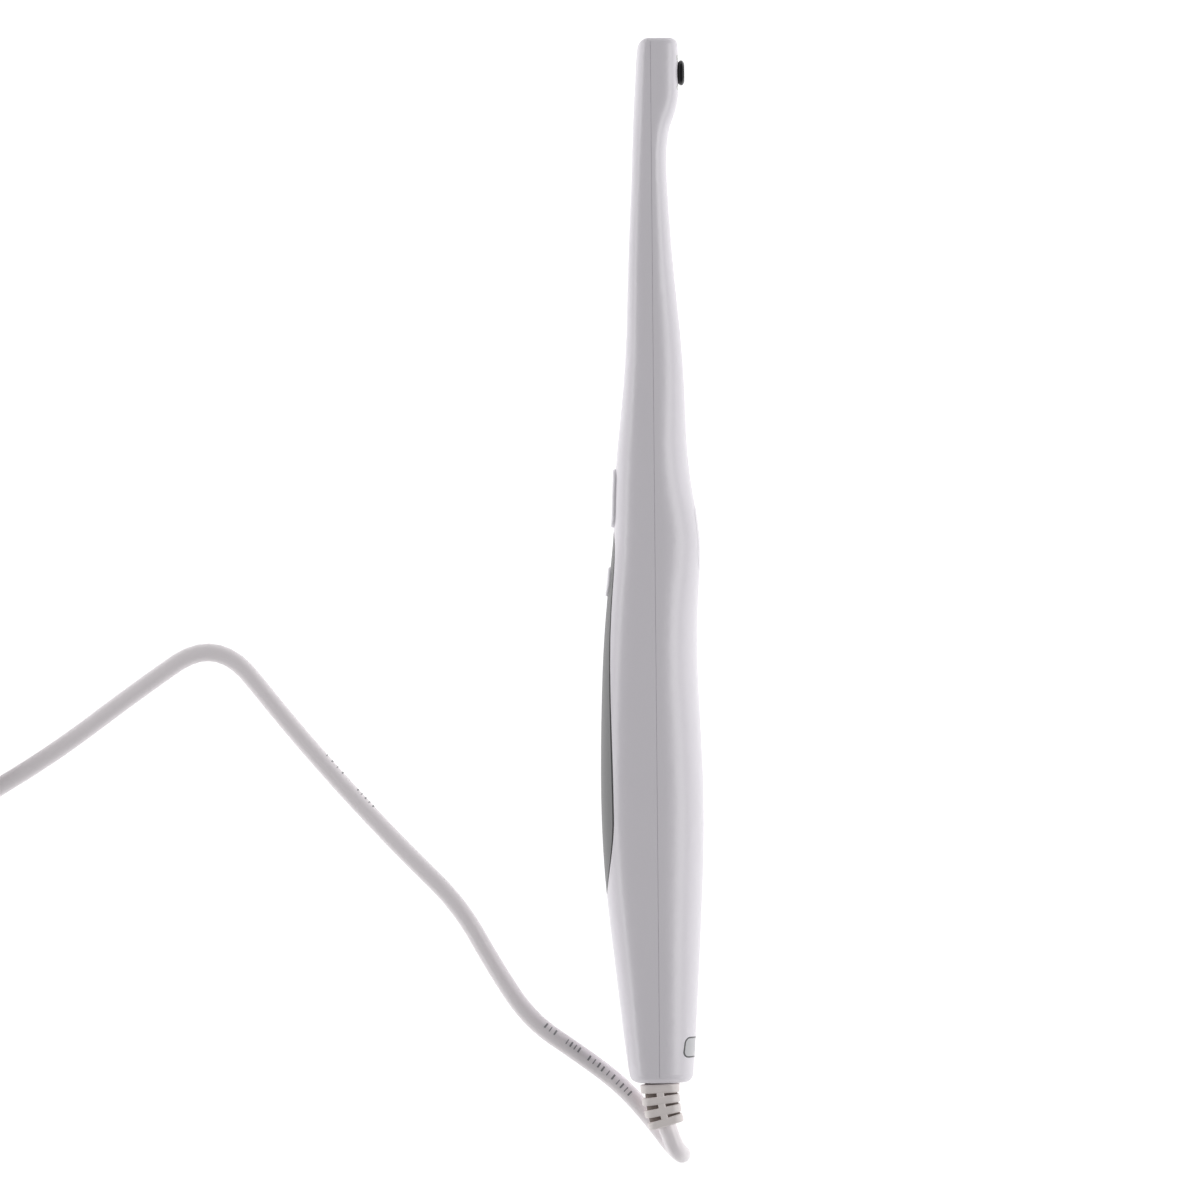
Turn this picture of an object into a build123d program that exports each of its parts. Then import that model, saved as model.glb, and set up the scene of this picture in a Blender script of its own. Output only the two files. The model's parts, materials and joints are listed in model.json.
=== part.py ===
"""Corded intraoral camera wand, lying on its side with its cable beside it. Millimetres.

+Y runs along the wand to the camera tip, +X is the lens side, -X is the grip side and +Z is up.
The origin is on the surface that the wand lies on, under the middle of the wand's box.
"""
from build123d import *
import math
import os

# ---------------------------------------------------------------- wand outline
WAND_LENGTH = 204.8
HANDLE_HALF_WIDTH = 9.5
TAIL_HALF_WIDTH = 6.2       # set by the strain relief's flange inside it
SIDE_SWELL = 0.046          # how far the smooth side bulges past that between its sections
PARTING_X = 0.92            # the plane where the two shell halves meet
HEAD_FACE = 5.45            # lens face, from the parting plane
HEAD_WALL = 1.0
SHELL_WALL = 1.6
TIP_FILLET = 1.3
TAIL_FILLET = 1.9
LIP_HEIGHT = 0.8            # tongue of the rear shell that locates the front shell
LIP_CLEARANCE = 0.06
TIP_REAR_CORNER = 2.4       # the tip is rounder towards the grip side
GROOVE_WIDTH = 0.07         # fine line where the halves meet
GROOVE_DEPTH = 0.1

# ---------------------------------------------------------------- grip panel
GRIP_BOTTOM_Y = -65.4
GRIP_WIDEST_Y = -50.0
GRIP_HALF_WIDTH = 6.6
GRIP_RIM = 1.35             # panel left on each side of the mode button
GRIP_BRIDGE = 0.3           # shell left between the panel's gasket and the rear capture button
GRIP_THICKNESS = 0.9
GASKET_WIDTH = 0.35
GASKET_RECESS = 0.12

# ---------------------------------------------------------------- buttons
REAR_BUTTON_Y = 12.25
REAR_BUTTON_LENGTH = 11.8
REAR_BUTTON_WIDTH = 5.6
REAR_BUTTON_PROUD = 0.6
MODE_BUTTON_Y = -4.1
MODE_BUTTON_DIAMETER = 6.1
MODE_BUTTON_PROUD = 0.5
FRONT_BUTTON_Y = 4.2
FRONT_BUTTON_LENGTH = 13.3
FRONT_BUTTON_WIDTH = 6.0
FRONT_BUTTON_PROUD = 0.08
BUTTON_CLEARANCE = 0.15
BUTTON_TRAVEL = 0.35
BUTTON_FLANGE = 0.8         # how far the inner flange reaches past the opening
BUTTON_FLANGE_THICKNESS = 0.7
BUTTON_STEM_RADIUS = 1.3

# ---------------------------------------------------------------- camera head
LENS_FROM_TIP = 6.8
BEZEL_RADIUS = 2.47
BEZEL_PROUD = 1.24
BEZEL_CHAMFER = 0.3
BEZEL_NECK_RADIUS = 2.1
BEZEL_BORE_RADIUS = 1.4
BEZEL_FIT = 0.05
WINDOW_RADIUS = 1.75
WINDOW_THICKNESS = 0.5
WINDOW_RECESS = 0.15
WINDOW_FIT = 0.02
BARREL_RADIUS = 1.85
BARREL_WALL = 0.45
BARREL_BELOW_FACE = 1.6
BARREL_GAP = 0.3            # from the sensor to the barrel
FILTER_GAP = 0.2
FILTER_THICKNESS = 0.3
LENS_THICKNESS = 0.8
LENS_RIM_SHARE = 0.42       # how much of its thickness a lens's rim rolls off on each side
REAR_LENS_GAP = 0.35
FRONT_LENS_GAP = 0.3
SENSOR_SIZE = 3.2
SENSOR_THICKNESS = 0.5
HOLDER_SIZE = 5.0
HOLDER_HEIGHT = 1.6
HOLDER_FIT = 0.1
HEAD_BOARD_THICKNESS = 0.4
HEAD_BOARD_WIDTH = 5.8
SENSOR_BOARD_LENGTH = 10.2
SENSOR_BOARD_PAST_LENS = 3.0
LED_BOARD_LENGTH = 11.0
LED_BOARD_PAST_LENS = 4.4
LED_BOARD_FIT = 0.1
SENSOR_BOARD_BACK = -1.2    # back of the sensor board, from the parting plane
LED_BOARD_BACK = 2.6
LED_RING_RADIUS = 3.7
LED_LENGTH = 1.0
LED_WIDTH = 0.8
LED_HEIGHT = 0.55
LED_WINDOW_RADIUS = 0.6
LED_ANGLES = (-38, 0, 38, 142, 180, 218)
LINK_PIN_RADIUS = 0.25
LINK_PIN_SPACING = 2.0
LINK_PIN_INSET = 1.2

# ---------------------------------------------------------------- electronics
FLEX_WIDTH = 4.0
FLEX_THICKNESS = 0.15
FLEX_OVERLAP = 2.5          # how far it lies under the sensor board
FLEX_STRAIGHT = 9.0
FLEX_RISE_END = 30.0
FLEX_RISE_SHORT = 1.0
FLEX_LEAD_IN = 8.0
FLEX_SOCKET_Y = 16.0
FLEX_SOCKET_LENGTH = 3.6
FLEX_SOCKET_WIDTH = 6.0
FLEX_SOCKET_HEIGHT = 1.4
BOARD_TOP_Y = 21.0
BOARD_STEP_Y = -5.0
BOARD_BOTTOM_Y = -61.0
BOARD_THICKNESS = 1.0
BOARD_CLEARANCE = 0.9
# Components on the main board: place along the wand, length, width and height.
VIDEO_PROCESSOR = (-35.0, 9.0, 9.0, 1.1)
MEMORY_CHIP = (-44.5, 4.0, 5.2, 1.0)
VOLTAGE_REGULATOR = (-26.0, 3.5, 6.5, 1.6)
CLOCK_CRYSTAL = (-11.5, 3.2, 2.5, 0.8)
CAPACITOR_SIZE = (1.6, 0.9, 0.8)
CAPACITOR_YS = (-26.0, -31.0, -36.0, -41.0)
CAPACITOR_SPREAD = 4.6
SWITCH_LENGTH = 4.6
SWITCH_WIDTH = 3.6
SWITCH_HEIGHT = 2.0
PLUNGER_RADIUS = 0.8
PLUNGER_PROUD = 0.6
PLUNGER_CLEARANCE = 0.1
SCREW_RADIUS = 1.0
SCREW_HEAD_RADIUS = 1.8
SCREW_HEAD_HEIGHT = 1.3
SCREW_RECESS_RADIUS = 0.8
SCREW_LENGTH = 9.0
SCREW_CLEARANCE = 0.15
SCREW_SEAT_X = -3.6         # seat of the screw head, from the parting plane
CASE_SCREW_YS = (-18.0, -52.0)
BOSS_RADIUS = 2.7

# ---------------------------------------------------------------- cable end
CABLE_DIAMETER = 3.6
RELIEF_X = 1.0
RELIEF_COLLAR_WIDTH = 7.8
RELIEF_END_WIDTH = 7.0
RELIEF_LENGTH = 8.6
RELIEF_BEND = 18.0          # degrees towards the lens side
RELIEF_CORNER = 2.2
RELIEF_NECK_RADIUS = 2.8
RELIEF_FLANGE_RADIUS = 3.5
RELIEF_FLANGE_THICKNESS = 1.6
RELIEF_FIT = 0.05
RELIEF_CORE_RADIUS = 3.0
RELIEF_WEB = 0.75           # half of the rib left between the two rows of slots
RELIEF_SLOT_PLACES = (2.3, 4.5, 6.7)
RELIEF_SLOT_OUTER = 0.72    # slots on the outside of the bend are pulled open
RELIEF_SLOT_INNER = 0.42    # and those on the inside are squeezed
JACKET_INSIDE = 14.0        # how far the jacket runs into the housing
CLAMP_WALL = 0.8
CLAMP_LENGTH = 3.0
CLAMP_INSET = 1.5           # jacket that stands out of the clamp towards the board
SOCKET_Y = -57.6
SOCKET_LENGTH = 5.0
SOCKET_WIDTH = 9.0
SOCKET_HEIGHT = 3.4
SOCKET_PLUG_LENGTH = 4.0
SOCKET_PLUG_WIDTH = 8.4
SOCKET_PLUG_HEIGHT = 3.0
WIRE_RADIUS = 0.45
WIRE_SPACING = 2.0
WIRE_BUNDLE = 0.5           # half the spacing of the wires where they leave the jacket
WIRE_STRAIGHT_AT_PLUG = 5.0
WIRE_STRAIGHT_AT_JACKET = 4.0
WIRE_BEND = 3.0

# ---------------------------------------------------------------- badge
BADGE_FROM_TAIL = 7.0
BADGE_LENGTH = 4.1
BADGE_WIDTH = 10.6
BADGE_CORNER = 1.2
BADGE_THICKNESS = 0.15

# ---------------------------------------------------------------- cord on the surface
RUN_SHARE = 0.45            # of the shorter run at a corner, which its arc takes up
COIL_MEAN_RADIUS = 21.6
COIL_COLUMNS = 6
COIL_LAYERS = 2
STRAP_WIDTH = 8.0
STRAP_THICKNESS = 0.7
STRAP_FIT = 0.05
STRAP_ANGLE = 250.0
COIL_EXIT_ANGLE = 150.0

# ---------------------------------------------------------------- plug
PLUG_CENTRE_Z = 4.0
PLUG_BODY_LENGTH = 22.0
PLUG_BODY_WIDTH = 15.6
PLUG_BODY_CORNER = 2.4
PLUG_BOOT_LENGTH = 9.0
PLUG_BOOT_RADIUS = 2.7
PLUG_BOOT_FLARE = 0.9
PLUG_SHELL_LENGTH = 12.0
PLUG_SHELL_WIDTH = 12.0
PLUG_SHELL_HEIGHT = 4.5
PLUG_SHELL_WALL = 0.3
PLUG_SHELL_EMBED = 4.0
PLUG_TONGUE_HEIGHT = 1.85
PLUG_TONGUE_INSET = 0.5
PLUG_LATCH_SIZE = 2.4
PLUG_LATCH_PLACE = 5.2
PLUG_CONTACT_WIDTH = 1.0
PLUG_CONTACT_PITCH = 2.5
PLUG_CONTACT_THICKNESS = 0.2
PLUG_CONTACT_LENGTH = 8.5
PLUG_CONTACT_INSET = 0.8

# ---------------------------------------------------------------- places worked out from those
AXIS_Z = HANDLE_HALF_WIDTH + SIDE_SWELL
TIP_Y = WAND_LENGTH / 2
TAIL_Y = -WAND_LENGTH / 2
NECK_TOP_Y = TIP_Y - 24.0
NECK_BOTTOM_Y = 31.5
LENS_Y = TIP_Y - LENS_FROM_TIP
BADGE_Y = TAIL_Y + BADGE_FROM_TAIL
CABLE_RADIUS = CABLE_DIAMETER / 2
REACH = 30.0                # longer than any half depth of the wand
GRIP_TOP_Y = REAR_BUTTON_Y - REAR_BUTTON_LENGTH / 2 - GRIP_BRIDGE - GASKET_WIDTH
BOARD_REAR_X = PARTING_X - BOARD_THICKNESS / 2
TAIL_TAPER = HANDLE_HALF_WIDTH - TAIL_HALF_WIDTH

# Sections from tip to tail: place, depth to the grip side, depth to the lens side, half width,
# and how square the grip half and the lens half are.
STATIONS = [
    (TIP_Y, 2.4, HEAD_FACE, 4.6, 0.66, 0.80),
    (TIP_Y - 2.5, 2.6, HEAD_FACE, 4.85, 0.66, 0.80),
    (TIP_Y - 5.5, 2.85, HEAD_FACE, 5.0, 0.66, 0.80),
    (TIP_Y - 9.0, 3.05, HEAD_FACE, 5.1, 0.66, 0.80),
    (TIP_Y - 12.0, 3.25, HEAD_FACE - 0.1, 5.1, 0.66, 0.77),
    (TIP_Y - 15.0, 3.4, 4.6, 5.0, 0.66, 0.70),
    (TIP_Y - 18.0, 3.55, 3.6, 4.8, 0.66, 0.64),
    (NECK_TOP_Y, 3.75, 3.0, 4.4, 0.66, 0.60),
    (66.7, 4.3, 3.5, 4.4, 0.66, 0.58),
    (49.0, 5.0, 5.0, 5.1, 0.66, 0.57),
    (NECK_BOTTOM_Y, 6.1, 6.2, 6.4, 0.67, 0.56),
    (13.8, 7.7, 7.5, 8.0, 0.68, 0.56),
    (-9.7, 9.6, 8.35, 9.3, 0.68, 0.56),
    (-33.0, 10.8, 8.75, HANDLE_HALF_WIDTH, 0.68, 0.56),
    (-57.0, 10.6, 9.1, HANDLE_HALF_WIDTH, 0.68, 0.56),
    (TAIL_Y + 22.0, 8.35, 8.0, HANDLE_HALF_WIDTH - 0.27 * TAIL_TAPER, 0.67, 0.56),
    (TAIL_Y + 10.0, 7.0, 7.3, HANDLE_HALF_WIDTH - 0.6 * TAIL_TAPER, 0.66, 0.56),
    (TAIL_Y, 5.5, 6.6, TAIL_HALF_WIDTH, 0.64, 0.58),
]
HALF_WIDTH = 3


def station_value(y, column):
    """A depth or half width of the wand at y, read between its stations."""
    for above, below in zip(STATIONS, STATIONS[1:]):
        if below[0] <= y <= above[0]:
            share = (above[0] - y) / (above[0] - below[0])
            return above[column] + share * (below[column] - above[column])
    return STATIONS[-1][column]


def wall_at(y):
    """Shell wall: thin in the head, thicker down the neck and in the handle."""
    share = min(max((NECK_TOP_Y - y) / (NECK_TOP_Y - NECK_BOTTOM_Y), 0.0), 1.0)
    return HEAD_WALL + share * (SHELL_WALL - HEAD_WALL)


def section(y, grip, lens, half_width, grip_full, lens_full):
    """One closed section across the wand, of four curves that join smoothly."""
    def quarter(x_end, z_end, full):
        corner_x = PARTING_X + full * x_end
        return Bezier(
            (PARTING_X + x_end, y, AXIS_Z),
            (PARTING_X + x_end, y, AXIS_Z + full * z_end),
            (corner_x, y, AXIS_Z + z_end),
            (PARTING_X, y, AXIS_Z + z_end),
        )
    return Wire([
        quarter(lens, half_width, lens_full),
        quarter(-grip, half_width, grip_full),
        quarter(-grip, -half_width, grip_full),
        quarter(lens, -half_width, lens_full),
    ])


def body(inset):
    """The wand's form, drawn in by inset, which is a number or a function of the place along it."""
    wires = []
    for index, (y, grip, lens, half_width, grip_full, lens_full) in enumerate(STATIONS):
        inward = inset(y) if callable(inset) else inset
        if index == 0:
            y = y - inward
        if index == len(STATIONS) - 1:
            y = y + inward
        depths = (grip - inward, lens - inward, half_width - inward)
        wires.append(section(y, *depths, grip_full, lens_full))
    return Solid.make_loft(wires, ruled=False)


def slab(x_low, x_high):
    """Everything of the wand between two planes across X."""
    size = WAND_LENGTH + 2 * REACH
    return Pos((x_low + x_high) / 2, 0, AXIS_Z) * Box(x_high - x_low, size, size)


def block(x_low, x_high, y_centre, z_offset, length, width):
    """A rectangular block: x range from the parting plane, length along Y and width along Z."""
    place = Pos(PARTING_X + (x_low + x_high) / 2, y_centre, AXIS_Z + z_offset)
    return place * Box(x_high - x_low, length, width)


def disc(x_low, x_high, y_centre, z_offset, radius):
    """A round piece with its axis along X, x range from the parting plane."""
    plane = Plane(origin=(PARTING_X + x_low, y_centre, AXIS_Z + z_offset), z_dir=(1, 0, 0))
    return extrude(plane * Circle(radius), amount=x_high - x_low)


def side_plane(y, side):
    """A drawing plane on the parting plane that looks out of one side, with its x along Y."""
    return Plane(origin=(PARTING_X, y, AXIS_Z), x_dir=(0, 1, 0), z_dir=(side, 0, 0))


def slot_prism(y, side, length, width):
    """A straight-sided column of slot or round outline that leaves one side of the wand."""
    outline = Circle(length / 2) if length == width else SlotOverall(length, width)
    return extrude(side_plane(y, side) * outline, amount=REACH)


def grip_prism(margin):
    """The teardrop outline of the grip panel as a column through the grip side."""
    start_x = PARTING_X - SHELL_WALL
    top = GRIP_TOP_Y + margin
    bottom = GRIP_BOTTOM_Y - margin
    half = GRIP_HALF_WIDTH + margin
    shoulder = MODE_BUTTON_DIAMETER / 2 + GRIP_RIM + margin
    shoulder_run = top - MODE_BUTTON_Y
    side_run = MODE_BUTTON_Y - GRIP_WIDEST_Y
    end_run = GRIP_WIDEST_Y - bottom
    flare = 0.1 * shoulder

    def side_edges(sign):
        def curve(*rows):
            return Bezier(*[(start_x, y, AXIS_Z + sign * z) for y, z in rows])
        return [
            curve((top, 0), (top, 0.68 * shoulder),
                  (MODE_BUTTON_Y + 0.5 * shoulder_run, shoulder - flare), (MODE_BUTTON_Y, shoulder)),
            curve((MODE_BUTTON_Y, shoulder), (MODE_BUTTON_Y - 0.5 * shoulder_run, shoulder + flare),
                  (GRIP_WIDEST_Y + 0.4 * side_run, half), (GRIP_WIDEST_Y, half)),
            curve((GRIP_WIDEST_Y, half), (GRIP_WIDEST_Y - 0.58 * end_run, half),
                  (bottom, 0.5 * half), (bottom, 0)),
        ]

    outline = Wire([*side_edges(1), *side_edges(-1)])
    return extrude(Face(outline), amount=REACH, dir=(-1, 0, 0))


def one(shape):
    """The largest solid of a result, without the skin-thin leftovers of a cut."""
    solids = shape.solids()
    return max(solids, key=lambda solid: solid.volume)


def switch(y, side):
    """A tact switch on one face of the board, with the bore that its plunger moves in."""
    low = BOARD_THICKNESS / 2
    high = low + SWITCH_HEIGHT
    case = block(*sorted((side * low, side * high)), y, 0, SWITCH_LENGTH, SWITCH_WIDTH)
    depth = BUTTON_TRAVEL + PLUNGER_CLEARANCE + PLUNGER_PROUD
    bore = Plane(origin=(PARTING_X + side * (high - depth), y, AXIS_Z), z_dir=(side, 0, 0))
    return case - extrude(bore * Circle(PLUNGER_RADIUS + PLUNGER_CLEARANCE), amount=depth + 1)


def plunger(y, side):
    """The switch's plunger, from inside the bore to the button's stem."""
    top = BOARD_THICKNESS / 2 + SWITCH_HEIGHT + PLUNGER_PROUD
    length = 2 * PLUNGER_PROUD
    plane = Plane(origin=(PARTING_X + side * (top - length), y, AXIS_Z), z_dir=(side, 0, 0))
    return extrude(plane * Circle(PLUNGER_RADIUS), amount=length)


def button(y, side, length, width, proud):
    """A push button: cap through the shell, captive flange inside it and a stem to its switch."""
    def flange_top(place):
        return wall_at(place) + BUTTON_CLEARANCE

    def flange_end(place):
        return flange_top(place) + BUTTON_FLANGE_THICKNESS

    shrink = 2 * BUTTON_CLEARANCE
    cap_column = slot_prism(y, side, length - shrink, width - shrink)
    cap = one((cap_column & body(-proud)) - body(flange_end))
    flange_column = slot_prism(y, side, length + 2 * BUTTON_FLANGE, width + 2 * BUTTON_FLANGE)
    flange = one((flange_column & body(flange_top)) - body(flange_end))
    stem_start = BOARD_THICKNESS / 2 + SWITCH_HEIGHT + PLUNGER_PROUD
    stem_plane = Plane(origin=(PARTING_X + side * stem_start, y, AXIS_Z), z_dir=(side, 0, 0))
    stem = extrude(stem_plane * Circle(BUTTON_STEM_RADIUS), amount=REACH) & body(flange_top)
    return one(cap + flange + stem)


def screw(y):
    """One case screw, head on its seat in the rear shell and tip in the front shell's boss."""
    head = disc(SCREW_SEAT_X - SCREW_HEAD_HEIGHT, SCREW_SEAT_X, y, 0, SCREW_HEAD_RADIUS)
    shank = disc(SCREW_SEAT_X, SCREW_SEAT_X + SCREW_LENGTH, y, 0, SCREW_RADIUS)
    head_top = SCREW_SEAT_X - SCREW_HEAD_HEIGHT
    recess = disc(head_top, head_top + SCREW_HEAD_HEIGHT / 2, y, 0, SCREW_RECESS_RADIUS)
    return (head + shank) - recess


def lens(x_low, thickness, radius):
    """A biconvex lens with its axis along X, as a disc with both rims rolled off."""
    blank = disc(x_low, x_low + thickness, LENS_Y, 0, radius)
    return fillet(blank.edges().filter_by(GeomType.CIRCLE), thickness * LENS_RIM_SHARE)


def tube(points, radii, radius):
    """A round cord along straight runs joined by tangent arcs."""
    path = FilletPolyline(*points, radius=radii)
    start = Plane(origin=path @ 0, z_dir=path % 0)
    solid = sweep(start * Circle(radius), path=path)
    return solid, path.length


def route_radii(points):
    """One radius for each corner: a share of the shorter run over the tangent of half the turn."""
    radii = []
    for before, corner, after in zip(points, points[1:], points[2:]):
        run_in = Vector(*corner) - Vector(*before)
        run_out = Vector(*after) - Vector(*corner)
        turn = math.radians(run_in.get_angle(run_out))
        radii.append(RUN_SHARE * min(run_in.length, run_out.length) / math.tan(turn / 2))
    return radii


parts = {}

# ---------------------------------------------------------------- shells
outer = body(0)
tip_edges = outer.edges().filter_by(lambda edge: edge.center().Y > TIP_Y - 0.01)
outer = fillet(tip_edges, TIP_FILLET)
tail_edges = outer.edges().filter_by(lambda edge: edge.center().Y < TAIL_Y + 0.01)
outer = fillet(tail_edges, TAIL_FILLET)
tip_depth = STATIONS[0][1]
tip_slope = (STATIONS[1][1] - tip_depth) / (STATIONS[0][0] - STATIONS[1][0])
tip_face = make_face(Polyline(
    (PARTING_X - tip_depth, TIP_Y), (PARTING_X + REACH, TIP_Y), (PARTING_X + REACH, TIP_Y - REACH),
    (PARTING_X - tip_depth - REACH * tip_slope, TIP_Y - REACH), close=True))
tip_corner = tip_face.vertices().sort_by_distance((PARTING_X - tip_depth, TIP_Y, 0))[0]
tip_face = fillet(tip_corner, TIP_REAR_CORNER)
tip_block = Pos(0, TIP_Y - TIP_REAR_CORNER * 0.75, AXIS_Z) * Box(
    2 * REACH, TIP_REAR_CORNER * 1.5, 2 * REACH)
tip_removed = tip_block - extrude(tip_face, amount=2 * REACH, both=True)
outer = one(outer - tip_removed)
cavity = body(wall_at)
walls = outer - cavity
grip_floor = body(GRIP_THICKNESS)

front_shell = one(walls & slab(PARTING_X, PARTING_X + REACH))
rear_shell = one(walls & slab(PARTING_X - REACH, PARTING_X))

lip_outer = body(lambda y: wall_at(y) / 2 + LIP_CLEARANCE)
lip_recess = body(lambda y: wall_at(y) / 2)
lip = (lip_outer - cavity) & slab(PARTING_X, PARTING_X + LIP_HEIGHT)
rear_shell = rear_shell + lip
lip_slab = slab(PARTING_X - 1, PARTING_X + LIP_HEIGHT + LIP_CLEARANCE)
front_shell = front_shell - (lip_recess & lip_slab)
groove_core = body(GROOVE_DEPTH)
front_shell = front_shell - (slab(PARTING_X - 1, PARTING_X + GROOVE_WIDTH) - groove_core)

for y in CASE_SCREW_YS:
    front_boss = disc(BOARD_THICKNESS / 2, REACH, y, 0, BOSS_RADIUS) & lip_recess
    rear_boss = disc(-REACH, -BOARD_THICKNESS / 2, y, 0, BOSS_RADIUS) & grip_floor
    front_shell = front_shell + front_boss
    rear_shell = rear_shell + rear_boss
    pilot = disc(-1, SCREW_SEAT_X + SCREW_LENGTH, y, 0, SCREW_RADIUS)
    front_shell = front_shell - pilot
    rear_shell = rear_shell - disc(-REACH, 1, y, 0, SCREW_RADIUS + SCREW_CLEARANCE)
    rear_shell = rear_shell - disc(-REACH, SCREW_SEAT_X, y, 0, SCREW_HEAD_RADIUS + SCREW_CLEARANCE)

# ---------------------------------------------------------------- grip panel and its gasket
panel_column = grip_prism(0)
pocket_column = grip_prism(GASKET_WIDTH)
rear_shell = rear_shell - (pocket_column - grip_floor)
mode_opening = slot_prism(MODE_BUTTON_Y, -1, MODE_BUTTON_DIAMETER, MODE_BUTTON_DIAMETER)
grip_skin = outer - grip_floor
parts["grip_panel"] = one((panel_column & grip_skin) - mode_opening)
gasket = ((pocket_column - panel_column) & body(GASKET_RECESS)) - grip_floor
parts["grip_gasket"] = one(gasket)

# ---------------------------------------------------------------- buttons
rear_opening = slot_prism(REAR_BUTTON_Y, -1, REAR_BUTTON_LENGTH, REAR_BUTTON_WIDTH)
front_opening = slot_prism(FRONT_BUTTON_Y, 1, FRONT_BUTTON_LENGTH, FRONT_BUTTON_WIDTH)
rear_shell = rear_shell - rear_opening - mode_opening
front_shell = front_shell - front_opening
parts["rear_capture_button"] = button(
    REAR_BUTTON_Y, -1, REAR_BUTTON_LENGTH, REAR_BUTTON_WIDTH, REAR_BUTTON_PROUD)
parts["mode_button"] = button(
    MODE_BUTTON_Y, -1, MODE_BUTTON_DIAMETER, MODE_BUTTON_DIAMETER, MODE_BUTTON_PROUD)
parts["front_capture_button"] = button(
    FRONT_BUTTON_Y, 1, FRONT_BUTTON_LENGTH, FRONT_BUTTON_WIDTH, FRONT_BUTTON_PROUD)
for name, y, side in (
    ("rear_switch", REAR_BUTTON_Y, -1),
    ("mode_switch", MODE_BUTTON_Y, -1),
    ("front_switch", FRONT_BUTTON_Y, 1),
):
    parts[name + "_body"] = switch(y, side)
    parts[name + "_plunger"] = plunger(y, side)

# ---------------------------------------------------------------- camera head
face = HEAD_FACE
bezel_ring = disc(face, face + BEZEL_PROUD, LENS_Y, 0, BEZEL_RADIUS)
bezel_ring = chamfer(bezel_ring.edges().filter_by(GeomType.CIRCLE), BEZEL_CHAMFER)
barrel_front = face - BARREL_BELOW_FACE
bezel_neck = disc(barrel_front, face + BEZEL_CHAMFER, LENS_Y, 0, BEZEL_NECK_RADIUS)
bezel = bezel_ring + bezel_neck
bezel = bezel - disc(barrel_front, face + BEZEL_PROUD, LENS_Y, 0, BEZEL_BORE_RADIUS)
window_front = face + BEZEL_PROUD - WINDOW_RECESS
window_back = window_front - WINDOW_THICKNESS
bezel = bezel - disc(window_back, face + BEZEL_PROUD, LENS_Y, 0, WINDOW_RADIUS)
parts["lens_bezel"] = bezel
parts["lens_window"] = disc(window_back, window_front, LENS_Y, 0, WINDOW_RADIUS - WINDOW_FIT)
front_shell = front_shell - disc(0, REACH, LENS_Y, 0, BEZEL_NECK_RADIUS + BEZEL_FIT)
front_shell = front_shell - disc(face, REACH, LENS_Y, 0, BEZEL_RADIUS + BEZEL_FIT)

board_top = SENSOR_BOARD_BACK + HEAD_BOARD_THICKNESS
sensor_top = board_top + SENSOR_THICKNESS
barrel_back = sensor_top + BARREL_GAP
barrel_bore = BARREL_RADIUS - BARREL_WALL
barrel = disc(barrel_back, barrel_front, LENS_Y, 0, BARREL_RADIUS)
parts["lens_barrel"] = barrel - disc(barrel_back, barrel_front, LENS_Y, 0, barrel_bore)
filter_back = barrel_back + FILTER_GAP
filter_front = filter_back + FILTER_THICKNESS
parts["infrared_filter"] = disc(filter_back, filter_front, LENS_Y, 0, barrel_bore)
parts["rear_lens"] = lens(filter_front + REAR_LENS_GAP, LENS_THICKNESS, barrel_bore)
front_lens_back = barrel_front - FRONT_LENS_GAP - LENS_THICKNESS
parts["front_lens"] = lens(front_lens_back, LENS_THICKNESS, barrel_bore)

sensor_board_y = LENS_Y + SENSOR_BOARD_PAST_LENS - SENSOR_BOARD_LENGTH / 2
parts["sensor_board"] = block(
    SENSOR_BOARD_BACK, board_top, sensor_board_y, 0, SENSOR_BOARD_LENGTH, HEAD_BOARD_WIDTH)
parts["image_sensor"] = block(board_top, sensor_top, LENS_Y, 0, SENSOR_SIZE, SENSOR_SIZE)
holder = block(board_top, sensor_top + HOLDER_HEIGHT, LENS_Y, 0, HOLDER_SIZE, HOLDER_SIZE)
sensor_room = SENSOR_SIZE + 2 * HOLDER_FIT
holder = holder - block(board_top, barrel_back, LENS_Y, 0, sensor_room, sensor_room)
parts["lens_holder"] = holder - disc(barrel_back, REACH, LENS_Y, 0, BARREL_RADIUS)

led_board_y = LENS_Y + LED_BOARD_PAST_LENS - LED_BOARD_LENGTH / 2
led_board_front = LED_BOARD_BACK + HEAD_BOARD_THICKNESS
led_top = led_board_front + LED_HEIGHT
led_board = block(
    LED_BOARD_BACK, led_board_front, led_board_y, 0, LED_BOARD_LENGTH, HEAD_BOARD_WIDTH)
led_board_hole = disc(
    LED_BOARD_BACK, led_board_front, LENS_Y, 0, BARREL_RADIUS + LED_BOARD_FIT)
parts["led_board"] = led_board - led_board_hole
leds = []
led_windows = []
for angle in LED_ANGLES:
    y = LENS_Y + LED_RING_RADIUS * math.cos(math.radians(angle))
    z = LED_RING_RADIUS * math.sin(math.radians(angle))
    leds.append(block(led_board_front, led_top, y, z, LED_LENGTH, LED_WIDTH))
    guide_column = disc(led_top, REACH, y, z, LED_WINDOW_RADIUS)
    led_windows.append((guide_column & outer).solid())
    front_shell = front_shell - guide_column
parts["leds"] = Compound(children=leds)
parts["led_windows"] = Compound(children=led_windows)
pins = []
pin_y = sensor_board_y - SENSOR_BOARD_LENGTH / 2 + LINK_PIN_INSET
for z in (-LINK_PIN_SPACING, 0.0, LINK_PIN_SPACING):
    pins.append(disc(board_top, LED_BOARD_BACK, pin_y, z, LINK_PIN_RADIUS))
parts["led_link_pins"] = Compound(children=pins)

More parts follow.
